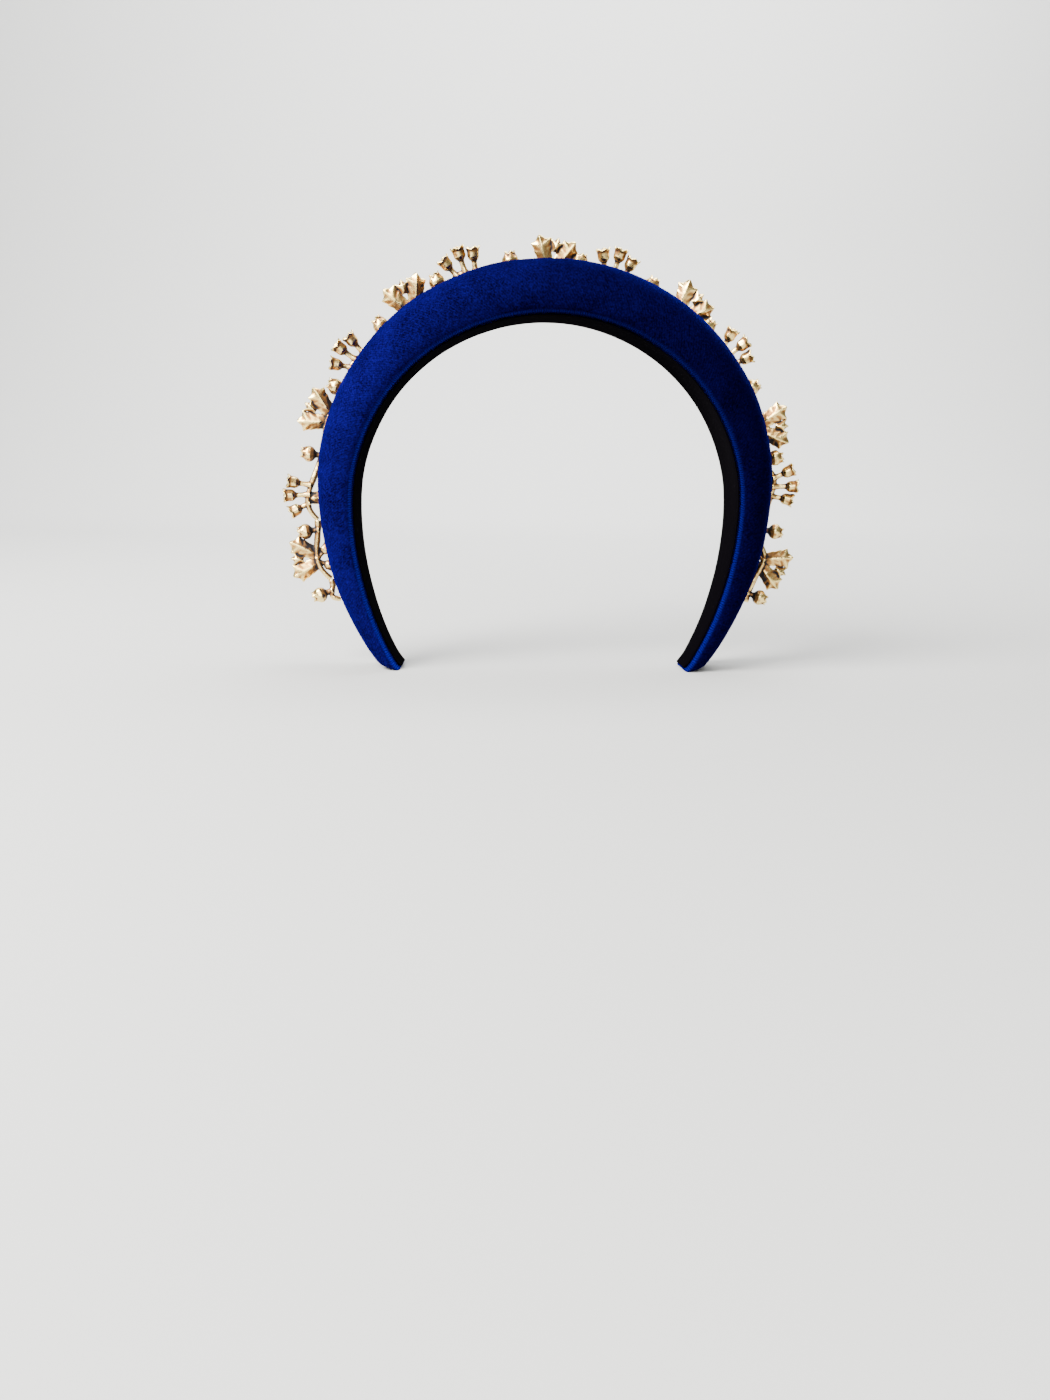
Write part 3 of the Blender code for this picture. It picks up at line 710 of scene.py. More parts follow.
def buildLiningRibbon():
    stations, across = liningRibbon["stations"], liningRibbon["across"]
    radius = liningRibbon["cornerRadius"]
    tops, bottoms, uvs = [], [], []
    for k in range(across + 1):
        share = 2 * k / across - 1
        ends = []
        for side in (-1.0, 1.0):
            half = padDepth(halfLength) / 2 - liningRibbon["margin"]
            past = max(abs(share) * half - (half - radius), 0.0)
            cut = radius - math.sqrt(radius**2 - past**2)
            ends.append(side * (liningReach(side, share * half) - cut))
        for i in range(stations + 1):
            s = ends[0] + (ends[1] - ends[0]) * i / stations
            half = padDepth(s) / 2 - liningRibbon["margin"]
            wave = noise.noise(Vector((s / liningRibbon["rippleLength"], share * 1.5, 0.0)))
            top = -liningRibbon["gap"]
            rounded = 0.30 * liningRibbon["thickness"] * abs(share) ** 12
            lift = liningRibbon["ripple"] * (wave + 1) / 2
            y = share * half * (1 + 0.004 * math.sin(s * 900.0) * abs(share) ** 4)
            tops.append(bandPoint(s, y, top - rounded))
            bottoms.append(bandPoint(s, y, top - liningRibbon["thickness"] - lift + rounded))
            uvs.append((s, y))
    count = len(tops)
    faces = []

    def at(k, i, layer):
        return layer * count + k * (stations + 1) + i

    for k in range(across):
        for i in range(stations):
            faces.append((at(k, i, 0), at(k, i + 1, 0), at(k + 1, i + 1, 0), at(k + 1, i, 0)))
            faces.append((at(k, i, 1), at(k + 1, i, 1), at(k + 1, i + 1, 1), at(k, i + 1, 1)))
    for i in range(stations):
        for k in (0, across):
            faces.append((at(k, i, 0), at(k, i + 1, 0), at(k, i + 1, 1), at(k, i, 1)))
    for k in range(across):
        for i in (0, stations):
            faces.append((at(k, i, 0), at(k + 1, i, 0), at(k + 1, i, 1), at(k, i, 1)))
    mesh = bpy.data.meshes.new("liningRibbon")
    mesh.from_pydata([tuple(p) for p in tops + bottoms], [], faces)
    shape = bmesh.new()
    shape.from_mesh(mesh)
    layer = shape.loops.layers.uv.new("UVMap")
    for face in shape.faces:
        for loop in face.loops:
            loop[layer].uv = uvs[loop.vert.index % count]
    bmesh.ops.recalc_face_normals(shape, faces=shape.faces)
    shape.to_mesh(mesh)
    shape.free()
    mesh.shade_smooth()
    mesh.set_sharp_from_angle(angle=math.radians(50.0))
    mesh.transform(stand)
    return mesh


def liningMaterial():
    material, recipe, shader = newMaterial("blackLining", {
        "Specular IOR Level": 0.0,
        "Sheen Weight": 0.01,
        "Sheen Roughness": 0.5,
        "Sheen Tint": (0.30, 0.28, 0.30, 1.0),
    })
    uv = recipe.node("ShaderNodeUVMap", {"uv_map": "UVMap"})
    place = recipe.node("ShaderNodeTexCoord", None, None, output="Object")
    warp = recipe.node("ShaderNodeTexWave", {"bands_direction": "X"}, {
        "Vector": uv, "Scale": 520.0, "Distortion": 0.6}, output="Fac")
    weft = recipe.node("ShaderNodeTexWave", {"bands_direction": "Y"}, {
        "Vector": uv, "Scale": 300.0, "Distortion": 0.8}, output="Fac")
    fluff = recipe.node("ShaderNodeTexNoise", None, {"Vector": place, "Scale": 900.0, "Detail": 4.0})
    weave = warp * 0.6 + weft * 0.4
    colour = recipe.mixed(weave * 0.5 + fluff * 0.5, (0.0002, 0.0002, 0.0004), (0.0014, 0.0010, 0.0018))
    bump = recipe.node("ShaderNodeBump", None, {
        "Height": weave + fluff * 0.4, "Strength": 0.5, "Distance": 0.00015})
    plug(recipe, shader, Base_Color=colour, Normal=bump, Roughness=0.72 + fluff * 0.2)
    return material


# Garland of castings: how its motifs are spaced along the crest and stand off the velvet
garland = {
    "motifPitch": 0.0578,
    "bellOffset": 0.0248,
    "firstLeaf": 0.1715,
    "leafSprays": 7,
    "bellSprays": 6,
    "tailLength": 0.0100,
    "stubLength": 0.0090,
    "vineSetback": 0.79,  # share of the half depth, in front of the crest
    "clearance": 0.0003,
    "endLift": 0.0054,
    "outerLean": math.radians(10.0),
}

# How the garland stands off the velvet: share of firstLeaf either way, then share of endLift
liftTable = (
    {"along": -1.15, "lift": 1.15},
    {"along": -1.00, "lift": 1.05},
    {"along": -0.83, "lift": 0.75},
    {"along": -0.69, "lift": 0.55},
    {"along": -0.50, "lift": 0.18},
    {"along": -0.35, "lift": 0.16},
    {"along": -0.16, "lift": 0.02},
    {"along": 0.00, "lift": 0.04},
    {"along": 0.20, "lift": 0.34},
    {"along": 0.35, "lift": 0.20},
    {"along": 0.52, "lift": 0.16},
    {"along": 0.66, "lift": 0.35},
    {"along": 0.75, "lift": 0.66},
    {"along": 0.87, "lift": 0.96},
    {"along": 1.00, "lift": 1.18},
    {"along": 1.14, "lift": 0.72},
)

vineStem = {
    "radius": 0.0014,
    "tailRadius": 0.0011,
    "leafBulge": 0.0027,
    "bellBulge": 0.0042,
    "bulgeLead": 0.0020,
    "stations": 40,
    "sides": 14,
    "knuckle": 0.16,  # share of the radius by which the thick end swells
    "ripple": 0.07,
}

leafForm = {
    "length": 0.0120,
    "width": 0.0082,
    "thickness": 0.0021,
    "seat": 0.0001,
    "edge": 0.00042,  # half thickness of the cast edge
    "veinHeight": 0.00008,
    "veins": 3.0,
    "fold": 0.0011,  # the two halves bend away from the midrib, to the front
    "droop": 0.0005,  # the tip curls to the front
    "innerLength": 0.0095,
    "innerWidth": 0.0068,
    "innerReach": 0.0075,
    "innerShift": 0.0012,
}

# The two leaves of a pair: angle from straight out, twist, base beside and above the seat
leafPair = (
    {"angle": math.radians(-38.0), "twist": math.radians(9.0), "beside": -0.0013, "above": 0.0000},
    {"angle": math.radians(18.0), "twist": math.radians(-7.0), "beside": 0.0025, "above": 0.0003},
)

# Outline of one leaf: shares of length on the midrib and at the edge, half width and ridge
leafOutline = (
    {"along": 0.00, "edgeAlong": 0.00, "halfWidth": 0.54, "ridge": 0.62},
    {"along": 0.12, "edgeAlong": 0.14, "halfWidth": 0.70, "ridge": 0.84},
    {"along": 0.26, "edgeAlong": 0.30, "halfWidth": 0.80, "ridge": 0.95},
    {"along": 0.34, "edgeAlong": 0.37, "halfWidth": 0.76, "ridge": 0.98},
    {"along": 0.48, "edgeAlong": 0.56, "halfWidth": 0.91, "ridge": 1.00},
    {"along": 0.55, "edgeAlong": 0.61, "halfWidth": 0.84, "ridge": 0.99},
    {"along": 0.68, "edgeAlong": 0.82, "halfWidth": 1.02, "ridge": 0.92},
    {"along": 0.75, "edgeAlong": 0.83, "halfWidth": 0.72, "ridge": 0.84},
    {"along": 0.82, "edgeAlong": 0.85, "halfWidth": 0.50, "ridge": 0.74},
    {"along": 0.91, "edgeAlong": 0.92, "halfWidth": 0.34, "ridge": 0.56},
    {"along": 1.01, "edgeAlong": 1.01, "halfWidth": 0.10, "ridge": 0.30},
)

# The flame-like bud that bridges a pair of leaves
budForm = {
    "length": 0.0056,
    "width": 0.0058,
    "thickness": 0.0030,
    "reach": 0.0059,
    "angle": math.radians(-16.0),
    "beside": 0.0013,
    "edge": 0.00050,
    "veinHeight": 0.00008,
    "veins": 2.0,
    "fold": 0.0008,
    "droop": 0.0002,
}
budOutline = (
    {"along": 0.00, "edgeAlong": 0.00, "halfWidth": 0.40, "ridge": 0.60},
    {"along": 0.18, "edgeAlong": 0.20, "halfWidth": 0.52, "ridge": 0.90},
    {"along": 0.40, "edgeAlong": 0.48, "halfWidth": 0.74, "ridge": 1.00},
    {"along": 0.58, "edgeAlong": 0.84, "halfWidth": 1.00, "ridge": 0.90},
    {"along": 0.66, "edgeAlong": 0.68, "halfWidth": 0.46, "ridge": 0.80},
    {"along": 0.80, "edgeAlong": 0.80, "halfWidth": 0.32, "ridge": 0.60},
    {"along": 1.00, "edgeAlong": 1.00, "halfWidth": 0.06, "ridge": 0.25},
)

bellForm = {
    "length": 0.0051,
    "rimRadius": 0.0029,
    "points": 5,
    "tooth": 0.17,  # share of the length that the points rise and fall
    "spread": 0.11,
    "stalkRadius": 0.0012,
    "innerScale": 0.90,
    "sides": 50,
}

# Turned profiles, out along the wall and back into the hollow: shares of length and radius
bellProfile = (
    {"along": -0.06, "radius": 0.00, "point": 0.0},
    {"along": -0.06, "radius": 0.44, "point": 0.0},
    {"along": 0.05, "radius": 0.66, "point": 0.0},
    {"along": 0.22, "radius": 0.82, "point": 0.0},
    {"along": 0.46, "radius": 0.84, "point": 0.1},
    {"along": 0.66, "radius": 0.86, "point": 0.4},
    {"along": 0.88, "radius": 1.05, "point": 1.0},
    {"along": 0.94, "radius": 0.86, "point": 1.0},
    {"along": 0.78, "radius": 0.58, "point": 0.7},
    {"along": 0.56, "radius": 0.42, "point": 0.2},
    {"along": 0.40, "radius": 0.26, "point": 0.0},
    {"along": 0.36, "radius": 0.00, "point": 0.0},
)

berryForm = {
    "radius": 0.0033,
    "reach": 0.0056,  # centre above the stem's middle
    "points": 5,
    "tooth": 0.15,
    "spread": 0.12,
    "leafOffset": 0.0108,
    "bellOffset": 0.0160,
    "sides": 50,
}
berryProfile = (
    {"along": 0.02, "radius": 0.00, "point": 0.0},
    {"along": 0.03, "radius": 0.34, "point": 0.0},
    {"along": 0.10, "radius": 0.62, "point": 0.0},
    {"along": 0.22, "radius": 0.86, "point": 0.0},
    {"along": 0.40, "radius": 1.00, "point": 0.0},
    {"along": 0.58, "radius": 0.98, "point": 0.1},
    {"along": 0.72, "radius": 0.80, "point": 0.3},
    {"along": 0.82, "radius": 0.64, "point": 0.7},
    {"along": 0.96, "radius": 0.66, "point": 1.0},
    {"along": 0.90, "radius": 0.44, "point": 0.9},
    {"along": 0.82, "radius": 0.26, "point": 0.3},
    {"along": 0.84, "radius": 0.00, "point": 0.0},
)

# Where the cups of a motif sit: angle from straight out, stalk length, root beside and above
bellFan = (
    {"angle": math.radians(-12.0), "reach": 0.0047, "beside": -0.0042, "above": -0.0010},
    {"angle": math.radians(0.0), "reach": 0.0056, "beside": -0.0002, "above": -0.0002},
    {"angle": math.radians(24.0), "reach": 0.0042, "beside": 0.0034, "above": -0.0002},
)
innerBellFan = (
    {"angle": math.radians(-32.0), "reach": 0.0036, "beside": -0.0006, "above": 0.0000},
    {"angle": math.radians(34.0), "reach": 0.0041, "beside": 0.0006, "above": 0.0000},
)

# Motifs and berries that sit off the even spacing, + towards +X; the rest keep to it
handSet = (
    {"node": "leaf_spray_2", "motif": 0.0010, "berry": 0.0000},
    {"node": "leaf_spray_3", "motif": 0.0025, "berry": 0.0000},
    {"node": "leaf_spray_6", "motif": 0.0000, "berry": -0.0015},
    {"node": "leaf_spray_7", "motif": 0.0024, "berry": 0.0000},
    {"node": "bell_spray_2", "motif": 0.0010, "berry": 0.0000},
    {"node": "bell_spray_3", "motif": 0.0026, "berry": 0.0000},
    {"node": "bell_spray_6", "motif": 0.0016, "berry": -0.0006},
)

# How each casting is finished
casting = {
    "voxel": 0.00023,
    "softening": 1,
    "pitting": 0.00006,  # height of the cast unevenness
    "pittingSize": 0.0016,
    "creasePatina": 0.8,  # dark patina gathers in creases
    "hollowPatina": 0.62,  # and in hollows
    "underPaintedShade": 0.45,  # painted shade on the side that faces the velvet
    "rootPatinaAndShade": 0.24,  # patina and painted shade on the stalks and stems close to the velvet
    "recessRounds": 14,
    "hollowReach": 0.0055,
    "hollowStart": 0.00008,  # the rays start this far off the skin
    "rootHeight": 0.0052,
}

vineAngle = math.pi - math.acos(garland["vineSetback"] ** (bandForm["domeFullness"] / 2))


def leanedOut(s):
    # direction in which the castings stand: outwards and a little back over the crest
    lean = garland["outerLean"]
    return crestAt(s)[1] * math.cos(lean) + Vector((0.0, math.sin(lean), 0.0))


def vinePoint(s, bulge=0.0):
    surface, normal = domeAt(s, vineAngle)
    lift = garland["endLift"] * readTable(liftTable, "lift", s / garland["firstLeaf"])
    off = vineStem["radius"] + garland["clearance"]
    return surface + normal * off + leanedOut(s) * (lift + bulge)


def stemBulge(s, run):
    head, tail, motif, bulge = run
    peak = (motif + vineStem["bulgeLead"] - head) / (tail - head)
    share = min(max((s - head) / (tail - head), 0.0), 1.0)
    return bulge * math.sin(math.pi * share ** (math.log(0.5) / math.log(peak)))


def frameFrom(origin, along, outward):
    across = along.cross(outward).normalized()
    along = outward.cross(across).normalized()
    made = Matrix((along, outward, across)).transposed().to_4x4()
    made.translation = origin
    return made


def outerFrame(s, run):
    return frameFrom(vinePoint(s, stemBulge(s, run)), alongBand(s), leanedOut(s))


def innerFrame(s, run, reach, standoff):
    # runs from the stem down the front slope of the velvet
    start = vinePoint(s, stemBulge(s, run))
    angle, target = vineAngle, start
    while (target - start).length < reach and angle < math.pi:
        angle += 0.01
        surface, normal = domeAt(s, angle)
        target = surface + normal * standoff
    return frameFrom(start, -alongBand(s), (target - start).normalized())


def turnedAbout(angle, x=0.0, y=0.0):
    return Matrix.Translation((x, y, 0.0)) @ Matrix.Rotation(-angle, 4, "Z")


def denseRows(rows, steps):
    # the rows of a table with straight steps between them
    dense = []
    for first, second in zip(rows, rows[1:]):
        for i in range(steps):
            t = i / steps
            dense.append({key: first[key] * (1 - t) + second[key] * t for key in first})
    return dense + [rows[-1]]


def leafMesh(name, rows, form, across=18):
    # two planes that meet on a sharp midrib, front and back, with a cast edge and side veins
    front, back = [], []
    dense = denseRows(rows, 4)
    for row in dense:
        for k in range(across + 1):
            v = 2 * k / across - 1
            share = abs(v)
            y = form["length"] * (row["along"] + (row["edgeAlong"] - row["along"]) * share**1.4)
            x = form["width"] / 2 * row["halfWidth"] * v
            ridge = row["ridge"] * form["thickness"] / 2
            edge = min(form["edge"], ridge)
            rise = edge + (ridge - edge) * (1 - share) ** 0.9
            phase = (row["along"] * form["veins"] - share * 1.1) % 1.0
            crease = (1 - abs(2 * phase - 1)) ** 2 * math.sin(math.pi * min(share * 1.2, 1.0))
            vein = form["veinHeight"] * crease
            bend = form["fold"] * (share - 0.5) * min(row["along"] * 4, 1.0)
            bend += form["droop"] * row["along"] ** 2
            front.append((x, y, bend + rise + vein))
            back.append((x, y, bend - rise - vein))
    count, wide = len(front), across + 1
    faces = []
    for i in range(len(dense) - 1):
        for k in range(across):
            a = i * wide + k
            faces.append((a, a + 1, a + wide + 1, a + wide))
            faces.append((count + a, count + a + wide, count + a + wide + 1, count + a + 1))
        for k in (0, across):
            a = i * wide + k
            faces.append((a, a + wide, count + a + wide, count + a))
    for i in (0, len(dense) - 1):
        for k in range(across):
            a = i * wide + k
            faces.append((a, a + 1, count + a + 1, count + a))
    return closedMesh(name, front + back, faces)


def turnedMesh(name, rows, length, radius, form):
    # turned body along +Y whose toothed rim rises and spreads in points
    sides = form["sides"]
    dense = denseRows(rows, 3)
    points = []
    for row in dense:
        for k in range(sides):
            turn = 2 * math.pi * k / sides
            wave = (k * form["points"] / sides) % 1.0
            sway = (1 - 2 * abs(2 * wave - 1)) * row["point"]
            rib = 0.05 * math.cos(2 * math.pi * wave) * min(row["radius"], 1.0)
            wide = radius * row["radius"] * (1 + form["spread"] * sway + rib)
            y = length * (row["along"] + form["tooth"] * sway / 2)
            points.append((wide * math.cos(turn), y, wide * math.sin(turn)))
    faces = []
    for i in range(len(dense) - 1):
        for k in range(sides):
            a, b = i * sides + k, i * sides + (k + 1) % sides
            faces.append((a, b, b + sides, a + sides))
    return closedMesh(name, points, faces)


def closedMesh(name, points, faces):
    mesh = bpy.data.meshes.new(name)
    mesh.from_pydata(points, [], faces)
    shape = bmesh.new()
    shape.from_mesh(mesh)
    bmesh.ops.remove_doubles(shape, verts=shape.verts, dist=1e-6)
    bmesh.ops.recalc_face_normals(shape, faces=shape.faces)
    shape.to_mesh(mesh)
    shape.free()
    return mesh


def stalkMesh(name, radius, sides=16):
    # unit-long stalk along +Y, waisted, sunk a little at both ends
    rows = [(-0.10, 1.35), (0.12, 1.2), (0.45, 0.9), (0.80, 0.9), (1.10, 1.1)]
    points = []
    for along, wide in rows:
        for k in range(sides):
            turn = 2 * math.pi * k / sides
            points.append((radius * wide * math.cos(turn), along, radius * wide * math.sin(turn)))
    faces = [tuple(range(sides)), tuple(range((len(rows) - 1) * sides, len(rows) * sides))]
    for i in range(len(rows) - 1):
        for k in range(sides):
            a, b = i * sides + k, i * sides + (k + 1) % sides
            faces.append((a, b, b + sides, a + sides))
    return closedMesh(name, points, faces)


def makePatterns():
    # one pattern for each part of the castings, in the alphabetical order that the tree picks by
    bell, berry = bellForm, berryForm
    inner = {**leafForm, "length": leafForm["innerLength"], "width": leafForm["innerWidth"]}
    patterns = {
        "aLeaf": leafMesh("aLeaf", leafOutline, leafForm),
        "bInnerLeaf": leafMesh("bInnerLeaf", leafOutline, inner),
        "cBud": leafMesh("cBud", budOutline, budForm),
        "dBell": turnedMesh("dBell", bellProfile, bell["length"], bell["rimRadius"], bell),
        "eBerry": turnedMesh("eBerry", berryProfile, 2 * berry["radius"], berry["radius"], berry),
        "fStalk": stalkMesh("fStalk", bell["stalkRadius"]),
    }
    shelf = bpy.data.collections.new("castingPatterns")
    for name, mesh in patterns.items():
        shelf.objects.link(bpy.data.objects.new(name, mesh))
    return shelf, {name: i for i, name in enumerate(sorted(patterns))}


def bellPlaces(frameMatrix, fan, scale):
    placed = []
    for row in fan:
        foot = frameMatrix @ turnedAbout(row["angle"], row["beside"], row["above"])
        reach = row["reach"] * scale
        placed.append(("fStalk", foot @ Matrix.Diagonal((scale, reach, scale, 1.0))))
        spin = Matrix.Rotation(row["angle"] * 2.3 + 0.4, 4, "Y")
        cup = foot @ Matrix.Translation((0.0, reach, 0.0)) @ spin @ Matrix.Diagonal((scale,) * 3 + (1.0,))
        placed.append(("dBell", cup))
    return placed


def berryPlaces(s, run):
    foot = outerFrame(s, run)
    root = berryForm["reach"] - berryForm["radius"]
    return [("fStalk", foot @ Matrix.Diagonal((1.1, root, 1.1, 1.0))),
            ("eBerry", foot @ Matrix.Translation((0.0, root, 0.0)))]


def offSpacing(node, column):
    return sum(row[column] for row in handSet if row["node"] == node)


def leafSprayPlaces(node, middle, run):
    motif = run[2]
    outer = outerFrame(motif, run)
    placed = []
    for row in leafPair:
        seat = turnedAbout(row["angle"], row["beside"], leafForm["seat"] + row["above"])
        placed.append(("aLeaf", outer @ seat @ Matrix.Rotation(row["twist"], 4, "Y")))
    bud = turnedAbout(budForm["angle"], budForm["beside"])
    placed.append(("cBud", outer @ bud @ Matrix.Translation((0.0, budForm["reach"], 0.0))))
    placed += berryPlaces(middle - berryForm["leafOffset"] + offSpacing(node, "berry"), run)
    standoff = bellForm["rimRadius"] * bellForm["innerScale"] + garland["clearance"]
    inner = innerFrame(motif + leafForm["innerShift"], run, leafForm["innerReach"], standoff)
    return placed + bellPlaces(inner, innerBellFan, bellForm["innerScale"])


def bellSprayPlaces(node, middle, run):
    motif = run[2]
    placed = bellPlaces(outerFrame(motif, run), bellFan, 1.0)
    placed += berryPlaces(middle - berryForm["bellOffset"] + offSpacing(node, "berry"), run)
    standoff = leafForm["thickness"] / 2 + 2 * garland["clearance"]
    inner = innerFrame(motif + leafForm["innerShift"], run, leafForm["innerLength"], standoff)
    return placed + [("bInnerLeaf", inner @ Matrix.Translation((0.0, leafForm["seat"], 0.0)))]


def castingPlan():
    # piece name, node name, run of its stem and the places of its parts
    plan = []
    tail, gap = garland["tailLength"], garland["clearance"]
    head = garland["firstLeaf"] + tail + gap
    run = (head, head + garland["stubLength"], head + garland["stubLength"] / 2, vineStem["leafBulge"])
    plan.append(("endBerry", "end_berry", run, berryPlaces(run[2], run)))
    for i in range(garland["leafSprays"]):
        node = f"leaf_spray_{i + 1}"
        middle = garland["firstLeaf"] - i * garland["motifPitch"]
        run = (middle - (garland["bellOffset"] - tail) + gap, middle + tail,
               middle + offSpacing(node, "motif"), vineStem["leafBulge"])
        plan.append((f"leafSpray{i + 1}", node, run, leafSprayPlaces(node, middle, run)))
    for i in range(garland["bellSprays"]):
        node = f"bell_spray_{i + 1}"
        middle = garland["firstLeaf"] - garland["bellOffset"] - i * garland["motifPitch"]
        run = (middle - (garland["motifPitch"] - garland["bellOffset"] - tail) + gap, middle + tail,
               middle + offSpacing(node, "motif"), vineStem["bellBulge"])
        plan.append((f"bellSpray{i + 1}", node, run, bellSprayPlaces(node, middle, run)))
    return plan


def spraySource(name, run, places, order):
    # the stem's path as edges, and a loose point for each part that is placed on it
    points, edges, radii, kinds, turns, scales = [], [], [], [], [], []
    stations = vineStem["stations"]
    for i in range(stations):
        share = i / (stations - 1)
        s = run[0] + (run[1] - run[0]) * share
        swell = vineStem["knuckle"] * math.exp(-((share - 0.05) / 0.07) ** 2)
        ripple = vineStem["ripple"] * math.sin(share * 19.0 + run[0] * 90.0)
        wide = vineStem["radius"] + (vineStem["tailRadius"] - vineStem["radius"]) * share
        points.append(vinePoint(s, stemBulge(s, run)))
        radii.append(wide * (1 + swell + ripple))
        kinds.append(-1)
        turns.append((0.0, 0.0, 0.0))
        scales.append((1.0, 1.0, 1.0))
        if i:
            edges.append((i - 1, i))
    for pattern, place in places:
        location, rotation, scale = place.decompose()
        points.append(location)
        radii.append(0.0)
        kinds.append(order[pattern])
        turns.append(tuple(rotation.to_euler()))
        scales.append(tuple(scale))
    mesh = bpy.data.meshes.new(name)
    mesh.from_pydata([tuple(p) for p in points], edges, [])
    setPointValues(mesh, "stemRadius", radii)
    mesh.attributes.new("kind", "INT", "POINT").data.foreach_set("value", kinds)
    mesh.attributes.new("turn", "FLOAT_VECTOR", "POINT").data.foreach_set("vector", np.ravel(turns))
    mesh.attributes.new("size", "FLOAT_VECTOR", "POINT").data.foreach_set("vector", np.ravel(scales))
    return mesh


def castingTree():
    recipe, wires, identifiers = newTree("castingTree", {
        "Patterns": "NodeSocketCollection", "Stem Sides": "NodeSocketInt",
        "Finish": "NodeSocketMaterial"})

    def attribute(name, kind):
        return recipe.node("GeometryNodeInputNamedAttribute", {"data_type": kind}, {"Name": name})

    kind = attribute("kind", "INT")
    isPart = recipe.node("FunctionNodeCompare", {"data_type": "INT", "operation": "GREATER_THAN"},
                         {2: kind, 3: -1})
    shelf = recipe.node("GeometryNodeCollectionInfo", None, {
        "Collection": wires["Patterns"], "Separate Children": True, "Reset Children": True})
    turn = recipe.node("FunctionNodeEulerToRotation", None, {"Euler": attribute("turn", "FLOAT_VECTOR")})
    parts = recipe.node("GeometryNodeInstanceOnPoints", None, {
        "Points": wires["Geometry"], "Selection": isPart, "Instance": shelf, "Pick Instance": True,
        "Instance Index": kind, "Rotation": turn, "Scale": attribute("size", "FLOAT_VECTOR")})
    path = recipe.node("GeometryNodeMeshToCurve", None, {"Mesh": wires["Geometry"]})
    ring = recipe.node("GeometryNodeCurvePrimitiveCircle", {"mode": "RADIUS"}, {
        "Resolution": wires["Stem Sides"], "Radius": 1.0})
    stem = recipe.node("GeometryNodeCurveToMesh", None, {
        "Curve": path, "Profile Curve": ring, "Scale": attribute("stemRadius", "FLOAT"),
        "Fill Caps": True})
    joined = recipe.tree.nodes.new("GeometryNodeJoinGeometry")
    for wire in (parts, stem):
        recipe.tree.links.new(wire.socket, joined.inputs[0])
    closeTree(recipe, Wire(recipe, joined.outputs[0]), wires["Finish"])
    return recipe, identifiers


def fuseCasting(mesh, name):
    # one closed skin over all that a casting is made of, worked in millimetres
    mesh.transform(Matrix.Scale(1000.0, 4))
    body = bpy.data.objects.new(name, mesh)
    bpy.context.collection.objects.link(body)
    remesh = body.modifiers.new("skin", "REMESH")
    remesh.mode = "VOXEL"
    remesh.voxel_size = casting["voxel"] * 1000.0
    remesh.use_smooth_shade = True
    bpy.context.view_layer.update()
    evaluated = body.evaluated_get(bpy.context.evaluated_depsgraph_get())
    skin = bpy.data.meshes.new_from_object(evaluated)
    bpy.data.objects.remove(body, do_unlink=True)
    skin.transform(Matrix.Scale(0.001, 4))
    return skin


def edgePairs(mesh):
    pairs = np.zeros(len(mesh.edges) * 2, np.int64)
    mesh.edges.foreach_get("vertices", pairs)
    return pairs.reshape(-1, 2)


def averaged(values, pairs, rounds, strength=1.0):
    # each point moves towards the mean of its neighbours
    count = np.bincount(pairs.ravel(), minlength=len(values)).astype(float)[:, None]
    values = values.copy()
    for _ in range(rounds):
        total = np.zeros_like(values)
        for i in range(values.shape[1]):
            total[:, i] += np.bincount(pairs[:, 0], values[pairs[:, 1], i], len(values))
            total[:, i] += np.bincount(pairs[:, 1], values[pairs[:, 0], i], len(values))
        values += (total / np.maximum(count, 1.0) - values) * strength
    return values


def hollowness(mesh, points, normals):
    # share of short rays from each point that meet the casting again
    tree = BVHTree.FromPolygons(points.tolist(), [tuple(p.vertices) for p in mesh.polygons])
    reach = casting["hollowReach"]
    tilts = [Vector(t) for t in ((0.8, 0.0, 0.6), (-0.8, 0.0, 0.6), (0.0, 0.8, 0.6), (0.0, -0.8, 0.6),
                                 (0.0, 0.0, 1.0))]
    met = np.zeros(len(points))
    for i, (point, normal) in enumerate(zip(points, normals)):
        outward = Vector(normal)
        turn = outward.to_track_quat("Z", "Y")
        start = Vector(point) + outward * casting["hollowStart"]
        for tilt in tilts:
            if tree.ray_cast(start, turn @ tilt, reach)[0] is not None:
                met[i] += 1 / len(tilts)
    return met


def pittedPoints(points, normals, seed):
    # the fine unevenness that the mould leaves
    away = Vector((seed * 3.7, seed * 1.3, 0.0))
    size = casting["pittingSize"]
    fine = np.array([noise.noise(Vector(p) / size + away) for p in points])
    coarse = np.array([noise.noise(Vector(p) / (3 * size) + away) for p in points])
    return points + normals * ((fine + 0.8 * coarse) * casting["pitting"])[:, None]


def patinaAndShadeDepth(mesh, points, pairs, run):
    # how much dark patina and painted shade each point keeps; below 0 it is rubbed bright
    normals = meshNormals(mesh)
    smooth = averaged(points, pairs, casting["recessRounds"])
    crease = ((smooth - points) * normals).sum(axis=1) / casting["voxel"]
    hollow = averaged(hollowness(mesh, points, normals)[:, None], pairs, 2)[:, 0]
    out = np.array(leanedOut(run[2]))
    # painted shade on the faces turned towards the velvet, and patina with painted shade low on the stalks
    # and stems
    under = np.clip(-(normals @ out), 0.0, 1.0)
    above = (points - np.array(vinePoint(run[2], stemBulge(run[2], run)))) @ out
    root = np.clip(1.0 - above / casting["rootHeight"], 0.0, 1.0)
    kept = crease * casting["creasePatina"] + hollow * casting["hollowPatina"]
    kept = kept + under * casting["underPaintedShade"] + root * casting["rootPatinaAndShade"]
    return np.clip(kept, -1.0, 1.0)


def finishCasting(mesh, seed, run):
    # softened and pitted, with a value for how much patina and painted shade each place keeps
    pairs = edgePairs(mesh)
    points = averaged(meshPoints(mesh), pairs, casting["softening"], 0.5)
    setMeshPoints(mesh, points)
    points = pittedPoints(points, meshNormals(mesh), seed)
    setMeshPoints(mesh, points)
    setPointValues(mesh, "recess", patinaAndShadeDepth(mesh, points, pairs, run))
    mesh.shade_smooth()
    mesh.transform(stand)


